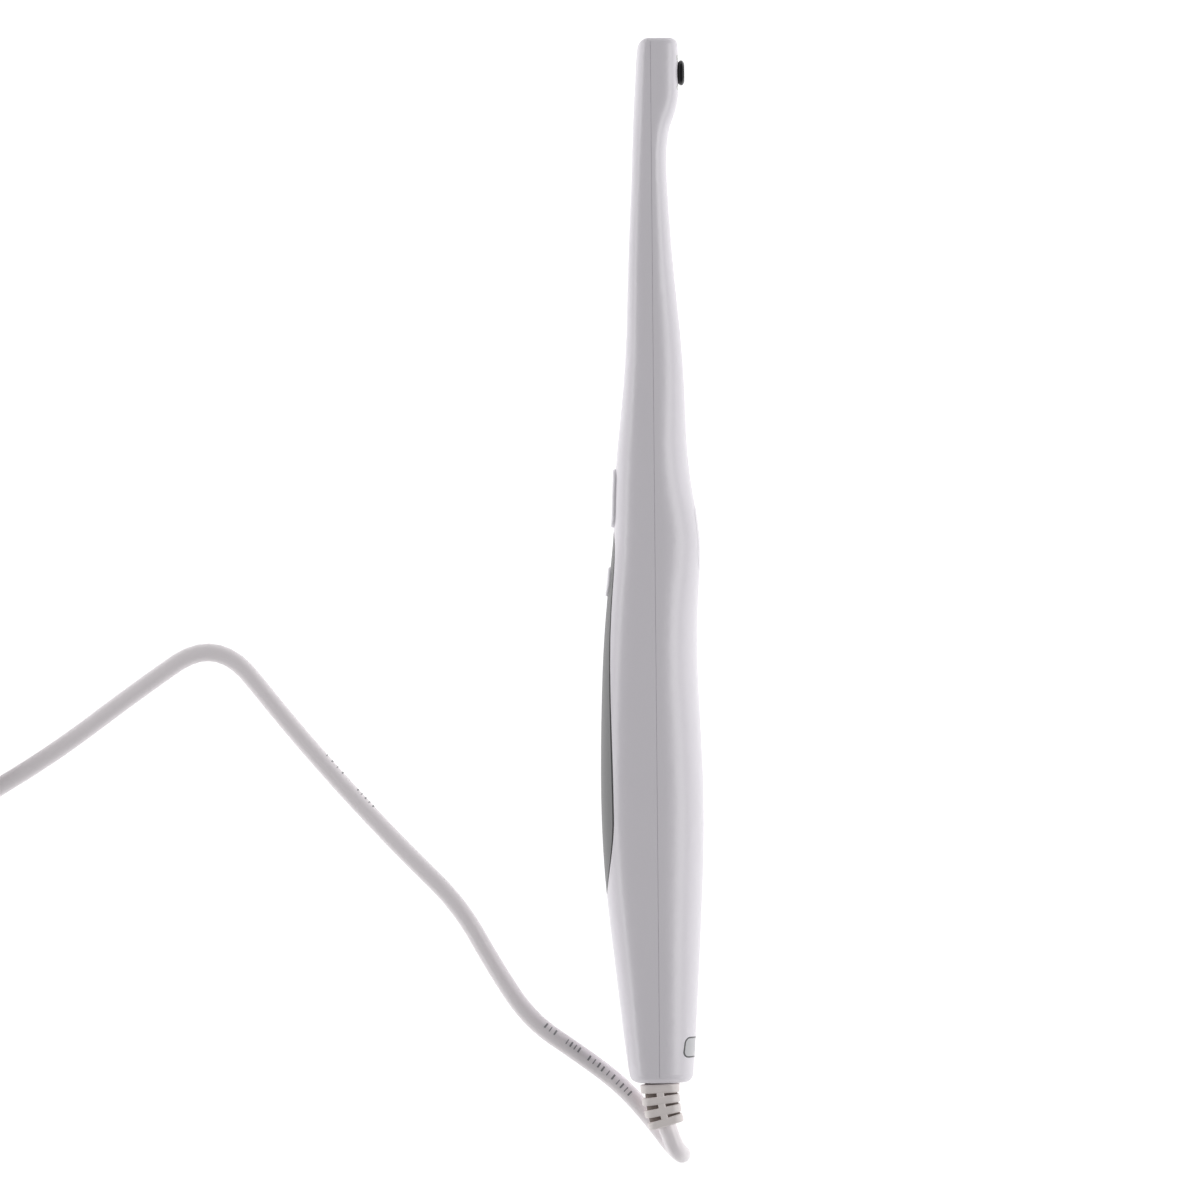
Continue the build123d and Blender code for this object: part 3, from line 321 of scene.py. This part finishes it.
# %% A place on the cable
def along_cable(index, share):
    """The middle of the cable and its heading on the NURBS arc round one control point."""
    before, at, after = control_points[index - 1:index + 2]
    place = ((1 - share) ** 2 * before + (1 + 2 * share - 2 * share ** 2) * at
             + share ** 2 * after) / 2
    heading = (1 - share) * (at - before) + share * (after - at)
    return place, heading.normalized()


# %% Bars in groups
BAR_WIDTH = 1.15
THICK_BAR = 0.17
THIN_BAR = 0.1
PRINT_HEIGHT = 0.012
PRINT_ROOT = 0.03
# each group: control point, start and end on its arc, number of bars, turn round the jacket
PRINT_GROUPS = ((5, 0.30, 0.62, 4, 0.1), (5, 0.75, 1.0, 3, 0.2), (6, 0.1, 0.32, 3, 0.3),
                (6, 0.55, 0.8, 4, 0.4), (7, 0.05, 0.25, 3, 0.5), (11, 0.2, 0.45, 5, 1.25),
                (11, 0.7, 0.95, 4, 1.25))
bars_bm = bmesh.new()
for index, start, end, count, roll in PRINT_GROUPS:
    for bar in range(count):
        middle, heading = along_cable(index, start + (end - start) * bar / (count - 1))
        to_left = Vector((heading.y, -heading.x, 0))
        thick = THIN_BAR if bar % 2 else THICK_BAR
        grid = bmesh.ops.create_grid(bars_bm, x_segments=1, y_segments=4, size=0.5)
        faces = {face for vert in grid["verts"] for face in vert.link_faces}
        raised = bmesh.ops.extrude_face_region(bars_bm, geom=list(faces), use_keep_orig=True)
        top = [item for item in raised["geom"] if isinstance(item, bmesh.types.BMVert)]
        bmesh.ops.translate(bars_bm, vec=(0, 0, 1), verts=top)
        for vert in grid["verts"] + top:
            angle = roll + vert.co.y * BAR_WIDTH / CABLE_RADIUS
            radius = CABLE_RADIUS - PRINT_ROOT + vert.co.z * (PRINT_ROOT + PRINT_HEIGHT)
            vert.co = (middle + heading * vert.co.x * 2 * thick
                       + to_left * radius * math.sin(angle)
                       + Vector((0, 0, radius * math.cos(angle))))
print_marks = add_piece("print_marks", bars_bm, "cable_white")

# %% [markdown]
# ## The strap round the coil
# A strip of hook-and-loop tape is wrapped round the bundle of turns. It is a rounded rectangle that
# is inset into a frame, and the frame is extruded by the width of the tape.

# %% Strap
STRAP_WIDTH = 8
STRAP_CORNER = 1.7
STRAP_EDGE = 0.12
coil_width = COLUMNS * PITCH
coil_height = 2 * PITCH
strap_bm = bmesh.new()
strap_face = rounded_face(strap_bm, coil_width + 2 * STRAP_THICKNESS,
                          coil_height + 2 * STRAP_THICKNESS, STRAP_CORNER)
bmesh.ops.inset_region(strap_bm, faces=[strap_face], thickness=STRAP_THICKNESS,
                       use_even_offset=True, use_boundary=True)
bmesh.ops.delete(strap_bm, geom=[strap_face], context="FACES_ONLY")
strap_made = bmesh.ops.extrude_face_region(strap_bm, geom=strap_bm.faces[:], use_keep_orig=True)
strap_top = [item for item in strap_made["geom"] if isinstance(item, bmesh.types.BMVert)]
bmesh.ops.translate(strap_bm, vec=(0, 0, STRAP_WIDTH), verts=strap_top)
bmesh.ops.recalc_face_normals(strap_bm, faces=strap_bm.faces)
rims = [edge for edge in strap_bm.edges if edge.calc_face_angle(0) > math.radians(60)]
bmesh.ops.bevel(strap_bm, geom=rims, offset=STRAP_EDGE, offset_type="OFFSET", segments=2,
                profile=0.5, affect="EDGES", material=-1)

# %% Strap: to its place on the coil
outward_axis = Vector((math.cos(STRAP_ANGLE), math.sin(STRAP_ANGLE), 0))
along_axis = Vector((math.sin(STRAP_ANGLE), -math.cos(STRAP_ANGLE), 0))
strap_middle = coil_centre + outward_axis * MEAN_RADIUS
strap_middle.z = coil_height / 2 + STRAP_THICKNESS
strap_place = Matrix.Translation(strap_middle - along_axis * STRAP_WIDTH / 2) @ Matrix(
    (outward_axis, Vector((0, 0, 1)), along_axis)).transposed().to_4x4()
bmesh.ops.transform(strap_bm, matrix=strap_place, verts=strap_bm.verts)
coil_tie = add_piece("coil_tie", strap_bm, "strap_black", stands_for=["coil_strap"])

# %% [markdown]
# ## The plug
# The plug's grip is soft plastic moulded round the cable: a rounded block with finger ridges and
# a tapered boot with rings that bend with the cable. The boot is a turned shape. The steel shell,
# the tongue and the contacts are already right in the CAD model.

# %% Plug grip
BOOT_LENGTH = 9
GRIP_LENGTH = 22
GRIP_WIDTH = 15.6
GRIP_HEIGHT = 8
GRIP_CORNER = 2.4
GRIP_EDGE = 0.9
RIDGE_PLACES = (13.5, 15.5, 17.5, 19.5)
RIDGE_WIDTH = 9
RIDGE_HALF = 0.45
plug_bm = bmesh.new()
boot_outline = [(0, 0.0), (0, 2.3), (0.3, 2.6), (1.5, 2.7), (1.7, 2.4), (2.3, 2.4), (2.5, 2.8),
                (3.7, 2.9), (3.9, 2.5), (4.5, 2.5), (4.7, 3.0), (5.9, 3.1), (6.1, 2.7), (6.7, 2.7),
                (6.9, 3.2), (9.6, 3.6), (9.6, 0.0)]
turned(plug_bm, boot_outline, segments=40)
rounded_block(plug_bm, GRIP_WIDTH, GRIP_HEIGHT, GRIP_CORNER, BOOT_LENGTH,
              BOOT_LENGTH + GRIP_LENGTH, GRIP_EDGE)
for place in RIDGE_PLACES:
    rounded_block(plug_bm, RIDGE_WIDTH, GRIP_HEIGHT - 0.1, 0.3, place - RIDGE_HALF,
                  place + RIDGE_HALF, 0.2)
side_axis = Vector((-plug_heading.y, plug_heading.x, 0))
plug_place = Matrix.Translation(plug_start) @ Matrix(
    (side_axis, plug_heading.cross(side_axis), plug_heading)).transposed().to_4x4()
bmesh.ops.transform(plug_bm, matrix=plug_place, verts=plug_bm.verts)
plug_grip = add_piece("plug_grip", plug_bm, "plug_white", stands_for=["usb_plug_body"])

# %% [markdown]
# ## The strain relief
# A soft collar with slots guards the cable where it leaves the housing. It is built straight, as
# four rounded rings on a round core, joined by a narrow web between the two rows of slots. Then
# each vertex is moved onto the bent axis, which also narrows the rings towards the mouth.

# %% Strain relief: straight
COLLAR_WIDTH = 7.8
END_WIDTH = 7.0
RELIEF_CORNER = 2.2
WEB_WIDTH = 1.5
CORE_RADIUS = 3.0
# The first ring starts a little off the housing, so the dark core shows there as a thin line of
# painted shade.
RINGS = ((0.22, 2.0), (2.6, 4.2), (4.8, 6.4), (7.0, 8.6))
RING_EDGE = 0.34
WEDGE = 0.18                # share by which a ring is thinner outside the bend, thicker inside
relief_bm = bmesh.new()
for ring_start, ring_end in RINGS:
    middle = (ring_start + ring_end) / 2
    faces = rounded_block(relief_bm, COLLAR_WIDTH, COLLAR_WIDTH, RELIEF_CORNER, ring_start,
                          ring_end, RING_EDGE, steps=3)
    for vert in {vert for face in faces for vert in face.verts}:
        thickening = 1 - WEDGE * vert.co.x / (COLLAR_WIDTH / 2)
        vert.co.z = middle + (vert.co.z - middle) * thickening
rounded_block(relief_bm, WEB_WIDTH, COLLAR_WIDTH - 0.1, 0.3, 0.3,
              RELIEF_LENGTH - 0.3, 0.1, steps=12)
print("straight relief, faces:", len(relief_bm.faces))

# %% Strain relief: narrowed and bent
for vert in relief_bm.verts:
    share = vert.co.z / RELIEF_LENGTH
    narrowing = 1 + share * (END_WIDTH / COLLAR_WIDTH - 1)
    vert.co.x *= narrowing
    vert.co.y *= narrowing
for vert in relief_bm.verts:
    vert.co = on_relief(-vert.co.x, vert.co.y, vert.co.z)
ribbed_relief = add_piece("ribbed_relief", relief_bm, "relief_beige", stands_for=["strain_relief"])

# %% Strain relief: the dark core seen through the slots, as painted shade
# A block beside the core fills the slots on the lens side, which are squeezed nearly shut. The core
# and the block are dark brown to paint the shade deep in the slots.
CORE_STEPS = (0.02, 0.2, 0.4, 0.6, 0.8, 0.97)
FILL_WIDTH = 3.2
FILL_HEIGHT = 5.4
FILL_ASIDE = 1.85
core_bm = bmesh.new()
core_outline = [(share * RELIEF_LENGTH, CORE_RADIUS) for share in CORE_STEPS]
core_outline += [(share * RELIEF_LENGTH, CABLE_RADIUS) for share in reversed(CORE_STEPS)]
turned(core_bm, core_outline, segments=48)
painted_shade_fill = rounded_block(core_bm, FILL_WIDTH, FILL_HEIGHT, 0.8, 0.3, RELIEF_LENGTH - 0.4, 0.1,
                           steps=8)
for vert in {vert for face in painted_shade_fill for vert in face.verts}:
    vert.co.x += FILL_ASIDE
    vert.co.x *= 1 + vert.co.z / RELIEF_LENGTH * (END_WIDTH / COLLAR_WIDTH - 1)
for vert in core_bm.verts:
    vert.co = on_relief(vert.co.x, vert.co.y, vert.co.z)
relief_core = add_piece("relief_core", core_bm, "relief_beige")

# %% [markdown]
# ## The buttons
# A moulded button has a rolled rim and a crown that follows the handle. The cap starts as one face
# with the button's outline. Repeated insets lay rings inside it, and each ring is then dropped onto
# the surface of the CAD button, lower near the rim by the fall of a quarter circle.

# %% Button helper
BUTTON_GAP = 0.15
BUTTON_ROLL = 0.4
ROLL_STEPS = (0.02, 0.06, 0.12, 0.2, 0.3, 0.4)
CROWN_STEP = 0.35
CORE_LEFT = 0.6             # insets stop here, before the middle of a narrow button closes up
CAP_DEPTH = 1.6
RAY_START = 30
INWARD = 0.985              # heights are read just inside the CAD button's rounded rim


def cad_surface(node):
    """The CAD part's surface, to be found by rays."""
    part = frame["nodes"][node]
    corners = [part.matrix_world @ vert.co / MM for vert in part.data.vertices]
    faces = [tuple(face.vertices) for face in part.data.polygons]
    return BVHTree.FromPolygons(corners, faces)


def crown_at(surface, side, y, z):
    """Where the button's top is along x. A ray can slip between two faces, so a few are tried."""
    for nudge in (0.003, -0.007, 0.013, -0.023, 0.037):
        start = Vector((side * RAY_START, y + nudge, z + nudge))
        hit = surface.ray_cast(start, Vector((-side, 0, 0)))[0]
        if hit is not None:
            return hit.x
    raise ValueError(f"no button surface at y {y:.2f}, z {z:.2f}")


def button_cap(name, node, body, side, y, length, width):
    """A crowned cap on one side of the wand, of the CAD button's outline and height."""
    half = width / 2 - BUTTON_GAP
    bm = bmesh.new()
    made = bmesh.ops.create_circle(bm, cap_ends=True, segments=64, radius=half)
    for vert in made["verts"]:
        if abs(vert.co.y) > 0.001:
            vert.co.y += math.copysign((length - width) / 2, vert.co.y)
    face = bm.faces[:][0]
    depth = {vert: 0.0 for vert in bm.verts}
    steps = list(ROLL_STEPS)
    while steps[-1] + CROWN_STEP < half - CORE_LEFT:
        steps.append(steps[-1] + CROWN_STEP)
    for before, step in zip([0.0] + steps, steps):
        bmesh.ops.inset_region(bm, faces=[face], thickness=step - before, use_even_offset=True,
                               use_boundary=True)
        depth.update({vert: before for vert in bm.verts if vert not in depth})
        depth.update({vert: step for vert in face.verts})
    surface = cad_surface(node)
    for vert in bm.verts:
        surface_x = crown_at(surface, side, y + INWARD * vert.co.y, AXIS_Z + INWARD * vert.co.x)
        fall = max(BUTTON_ROLL - depth[vert], 0)
        drop = BUTTON_ROLL - math.sqrt(max(BUTTON_ROLL ** 2 - fall ** 2, 0))
        vert.co = Vector((surface_x - side * drop, y + vert.co.y, AXIS_Z + vert.co.x))
    rim = [edge for edge in bm.edges if edge.is_boundary]
    wall = bmesh.ops.extrude_edge_only(bm, edges=rim)
    low = [item for item in wall["geom"] if isinstance(item, bmesh.types.BMVert)]
    bmesh.ops.translate(bm, vec=(-side * CAP_DEPTH, 0, 0), verts=low)
    bmesh.ops.edgeloop_fill(bm, edges=[edge for edge in bm.edges if edge.is_boundary])
    return add_piece(name, bm, "button_white", body=body, stands_for=[node])


# %% Three buttons
GRIP_SIDE = -1
LENS_SIDE = 1
button_cap("rear_capture_cap", "rear_capture_button", "rear_capture", GRIP_SIDE,
           y=12.25, length=11.8, width=5.6)
button_cap("mode_cap", "mode_button", "mode", GRIP_SIDE, y=-4.1, length=6.1, width=6.1)
button_cap("front_capture_cap", "front_capture_button", "front_capture", LENS_SIDE,
           y=4.2, length=13.3, width=6.0)

# %% [markdown]
# ## The lens ring
# The camera looks out through a black metal ring with a glass window. A turned part is best
# spun from the outline of half its section. A small bevel on its corners catches a line of light.

# %% Lens ring
LENS_FROM_TIP = 6.8
FACE_DEPTH = 5.45
LENS_Y = TIP_Y - LENS_FROM_TIP
FACE_X = PARTING_X + FACE_DEPTH
ring_outline = [(-1.6, 1.4), (-1.6, 2.1), (0.04, 2.1), (0.34, 2.47), (0.84, 2.47),
                (1.24, 1.84), (1.09, 1.75), (0.59, 1.75), (0.59, 1.4)]
ring_bm = bmesh.new()
turned(ring_bm, ring_outline, segments=72)
bmesh.ops.recalc_face_normals(ring_bm, faces=ring_bm.faces)
corners = [edge for edge in ring_bm.edges if edge.calc_face_angle(0) > math.radians(30)]
bmesh.ops.bevel(ring_bm, geom=corners, offset=0.06, offset_type="OFFSET", segments=3,
                profile=0.5, affect="EDGES", material=-1)
lens_place = Matrix.Translation((FACE_X, LENS_Y, AXIS_Z)) @ Matrix.Rotation(math.pi / 2, 4, "Y")
bmesh.ops.transform(ring_bm, matrix=lens_place, verts=ring_bm.verts)
add_piece("lens_ring", ring_bm, "bezel_black", stands_for=["lens_bezel"])

# %% [markdown]
# ## Finishes
# Moulded plastic is never one flat colour: it varies a little in tone, in gloss and in its fine
# grain. One helper builds that from two noise patterns on Object coordinates. The slow one moves
# the colour and the roughness, and the fine one becomes bump. What is the same all over, such as
# how metallic or clear a part is, is set on the shader itself.

# %% Finish helper
def finish(name, colour, roughness, *, spread=0.04, gloss_spread=0.05, cloud=90, grain=2500,
           bump=0.06, depth=0.02, **sockets):
    """A plastic, rubber or metal: colour is linear, cloud and grain are patterns per metre."""
    material = bpy.data.materials.new(name)
    material.use_nodes = True
    nodes = material.node_tree.nodes
    links = material.node_tree.links
    shader = nodes["Principled BSDF"]
    place = nodes.new("ShaderNodeTexCoord")
    slow = nodes.new("ShaderNodeTexNoise")
    slow.inputs["Scale"].default_value = cloud
    slow.inputs["Detail"].default_value = 3
    links.new(place.outputs["Object"], slow.inputs["Vector"])
    tone = nodes.new("ShaderNodeMix")
    tone.data_type = "RGBA"
    tone.inputs["A"].default_value = (*[value * (1 - spread) for value in colour], 1)
    tone.inputs["B"].default_value = (*[min(value * (1 + spread), 1) for value in colour], 1)
    links.new(slow.outputs["Fac"], tone.inputs["Factor"])
    links.new(tone.outputs["Result"], shader.inputs["Base Color"])
    gloss = nodes.new("ShaderNodeMapRange")
    gloss.inputs["To Min"].default_value = max(roughness - gloss_spread, 0)
    gloss.inputs["To Max"].default_value = roughness + gloss_spread
    links.new(slow.outputs["Fac"], gloss.inputs["Value"])
    links.new(gloss.outputs["Result"], shader.inputs["Roughness"])
    fine = nodes.new("ShaderNodeTexNoise")
    fine.inputs["Scale"].default_value = grain
    fine.inputs["Detail"].default_value = 2
    links.new(place.outputs["Object"], fine.inputs["Vector"])
    relief = nodes.new("ShaderNodeBump")
    relief.inputs["Strength"].default_value = bump
    relief.inputs["Distance"].default_value = depth * MM
    links.new(fine.outputs["Fac"], relief.inputs["Height"])
    links.new(relief.outputs["Normal"], shader.inputs["Normal"])
    for socket, value in sockets.items():
        shader.inputs[socket.replace("_", " ")].default_value = value
    return material


# %% Finishes of the outside
finishes = {
    "shell_white": finish("shell_white", (0.825, 0.795, 0.845), 0.3, spread=0.012,
                          Specular_IOR_Level=0.45),
    "button_white": finish("button_white", (0.9, 0.88, 0.92), 0.3, spread=0.01),
    "grip_grey": finish("grip_grey", (0.235, 0.235, 0.24), 0.5, spread=0.06, bump=0.25),
    "gasket_black": finish("gasket_black", (0.03, 0.03, 0.032), 0.6, bump=0.2),
    "bezel_black": finish("bezel_black", (0.012, 0.012, 0.014), 0.22, Metallic=0.4),
    "relief_beige": finish("relief_beige", (0.86, 0.80, 0.785), 0.45, spread=0.02, bump=0.15),
    # A dark brown that paints the shade deep in the strain relief's slots.
    "relief_painted_shade": finish("relief_painted_shade", (0.16, 0.13, 0.115), 0.7),
    "print_grey": finish("print_grey", (0.27, 0.27, 0.28), 0.5),
    "cable_white": finish("cable_white", (0.95, 0.90, 0.925), 0.28, spread=0.012, bump=0.1),
    "plug_white": finish("plug_white", (0.78, 0.76, 0.79), 0.45, bump=0.15),
    "plug_steel": finish("plug_steel", (0.72, 0.72, 0.73), 0.22, Metallic=1.0),
    "strap_black": finish("strap_black", (0.02, 0.02, 0.022), 0.9, spread=0.3, grain=1400,
                          bump=0.9, depth=0.2, Sheen_Weight=0.3),
}

# %% Finishes of the inside
finishes.update({
    "chip_black": finish("chip_black", (0.02, 0.02, 0.022), 0.5, bump=0.3),
    "board_green": finish("board_green", (0.015, 0.12, 0.045), 0.35, spread=0.2, cloud=700),
    "component_tan": finish("component_tan", (0.42, 0.28, 0.15), 0.5),
    "tin": finish("tin", (0.62, 0.62, 0.63), 0.3, Metallic=1.0),
    "gold": finish("gold", (0.83, 0.58, 0.2), 0.25, Metallic=1.0),
    "flex_amber": finish("flex_amber", (0.5, 0.22, 0.03), 0.3),
    "socket_cream": finish("socket_cream", (0.78, 0.73, 0.6), 0.5),
    "led_yellow": finish("led_yellow", (0.9, 0.7, 0.12), 0.5),
    "wire_red": finish("wire_red", (0.45, 0.01, 0.01), 0.4),
    "wire_white": finish("wire_white", (0.8, 0.8, 0.8), 0.4),
    "wire_green": finish("wire_green", (0.01, 0.22, 0.04), 0.4),
    "wire_black": finish("wire_black", (0.015, 0.015, 0.015), 0.4),
    "lens_glass": finish("lens_glass", (0.75, 0.85, 0.95), 0.03, gloss_spread=0.02, bump=0.0,
                         Transmission_Weight=0.9, IOR=1.52),
    "led_guide": finish("led_guide", (0.92, 0.92, 0.88), 0.2, Transmission_Weight=0.5, IOR=1.5),
})
print("finishes:", len(finishes))

# %% [markdown]
# ## The badge
# A printed foil sits on the lens side near the tail: a light field with a dark rounded outline.
# It has a plain ring in its middle, in place of any mark. Print has no thickness, so it is made in
# the material: the distance from the foil's outline picks the ink or the field.

# %% Badge finish
BADGE_FROM_TAIL = 7
BADGE_Y = TAIL_Y + BADGE_FROM_TAIL
BADGE_HALF = (2.05, 5.3)
BADGE_CORNER = 1.2
FRAME_WIDTH = 0.3
RING_RADIUS = 0.95
RING_HALF = 0.16
INK_COLOUR = (0.09, 0.09, 0.095, 1)
badge = finish("badge_grey", (0.6, 0.6, 0.62), 0.35, spread=0.02)
badge_tree = badge.node_tree


def math_node(tree, operation, first, second=0.0):
    """One arithmetic step of two values, each a socket or a number."""
    node = tree.nodes.new("ShaderNodeMath")
    node.operation = operation
    for socket, value in zip(node.inputs, (first, second)):
        if isinstance(value, bpy.types.NodeSocket):
            tree.links.new(value, socket)
        else:
            socket.default_value = value
    return node.outputs[0]


def length_of(tree, first, second):
    """The length of a flat vector from its two values."""
    squares = math_node(tree, "ADD", math_node(tree, "MULTIPLY", first, first),
                        math_node(tree, "MULTIPLY", second, second))
    return math_node(tree, "SQRT", squares)


# %% Badge: where the ink is
split = badge_tree.nodes.new("ShaderNodeSeparateXYZ")
place = badge_tree.nodes.new("ShaderNodeTexCoord")
in_mm = badge_tree.nodes.new("ShaderNodeVectorMath")
in_mm.operation = "SCALE"
in_mm.inputs["Scale"].default_value = 1 / MM
badge_tree.links.new(place.outputs["Object"], in_mm.inputs[0])
badge_tree.links.new(in_mm.outputs[0], split.inputs[0])
from_middle = [math_node(badge_tree, "ABSOLUTE",
                         math_node(badge_tree, "SUBTRACT", split.outputs[axis], middle))
               for axis, middle in ((1, BADGE_Y), (2, AXIS_Z))]
past_corner = [math_node(badge_tree, "MAXIMUM",
                         math_node(badge_tree, "SUBTRACT", value, half - BADGE_CORNER), 0.0)
               for value, half in zip(from_middle, BADGE_HALF)]
outline = math_node(badge_tree, "SUBTRACT", length_of(badge_tree, *past_corner), BADGE_CORNER)
frame_ink = math_node(badge_tree, "GREATER_THAN", outline, -FRAME_WIDTH)
ring = math_node(badge_tree, "SUBTRACT", length_of(badge_tree, *from_middle), RING_RADIUS)
ring_ink = math_node(badge_tree, "LESS_THAN", math_node(badge_tree, "ABSOLUTE", ring), RING_HALF)
ink = math_node(badge_tree, "MAXIMUM", frame_ink, ring_ink)
inked = badge_tree.nodes.new("ShaderNodeMix")
inked.data_type = "RGBA"
inked.inputs["B"].default_value = INK_COLOUR
badge_shader = badge_tree.nodes["Principled BSDF"]
badge_tone = badge_shader.inputs["Base Color"].links[0].from_socket
badge_tree.links.new(badge_tone, inked.inputs["A"])
badge_tree.links.new(ink, inked.inputs["Factor"])
badge_tree.links.new(inked.outputs["Result"], badge_shader.inputs["Base Color"])
finishes["badge_grey"] = badge

# %% Give every part its finish
slots = {part["node"]: part["material_slot"] for part in frame["record"]["subparts"]}
for node, part in frame["nodes"].items():
    part.data.materials.clear()
    part.data.materials.append(finishes[slots[node]])
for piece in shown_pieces():
    if "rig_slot" in piece and piece.name not in frame["nodes"]:
        piece.data.materials.clear()
        piece.data.materials.append(finishes[piece["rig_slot"]])
# The relief's core gets the dark brown of painted shade.
relief_core.data.materials[0] = finishes["relief_painted_shade"]
print_marks.data.materials[0] = finishes["print_grey"]
print("parts with a finish:", len(frame["nodes"]))

# %% [markdown]
# ## Table and light
# The wand lies on a bright white table that shows next to no shadow. Such a table is a lit
# sheet, so it gives some light of its own. Long soft lights low on both sides draw the form, and
# little light comes from the camera's side.

# %% Table
TABLE_HALF = 3
floor_bm = bmesh.new()
bmesh.ops.create_grid(floor_bm, x_segments=1, y_segments=1, size=TABLE_HALF)
floor_mesh = bpy.data.meshes.new("white_table")
floor_bm.to_mesh(floor_mesh)
floor_bm.free()
white_table = bpy.data.objects.new("white_table", floor_mesh)
bpy.context.scene.collection.objects.link(white_table)
table_finish = finish("white_table", (0.5, 0.5, 0.5), 0.8, spread=0.0, Specular_IOR_Level=0.0,
                      Emission_Color=(1, 1, 1, 1), Emission_Strength=0.85)
floor_mesh.materials.append(table_finish)

# %% Lights
def soft_light(name, place, target, size, watts):
    """A soft box at place that faces target: its size is along the wand, then up. In metres."""
    data = bpy.data.lights.new(name, "AREA")
    data.shape = "RECTANGLE"
    data.size, data.size_y = size
    data.energy = watts
    light = bpy.data.objects.new(name, data)
    light.location = place
    light.rotation_euler = (Vector(target) - Vector(place)).to_track_quat("-Z", "Y").to_euler()
    bpy.context.scene.collection.objects.link(light)
    return light


wand_middle = (0, 0, 0.01)
soft_light("left_softbox", (-1.0, 0, 0.22), wand_middle, size=(1.4, 0.22), watts=4.5)
soft_light("right_softbox", (0.9, 0, 0.56), wand_middle, size=(1.0, 0.5), watts=5.2)

# %% The room's own light
ROOM_LIGHT = 0.25
world = bpy.data.worlds.new("white_room")
world.use_nodes = True
room = world.node_tree.nodes["Background"]
room.inputs["Color"].default_value = (1, 1, 1, 1)
room.inputs["Strength"].default_value = ROOM_LIGHT
bpy.context.scene.world = world
bpy.context.scene.view_settings.view_transform = "Standard"
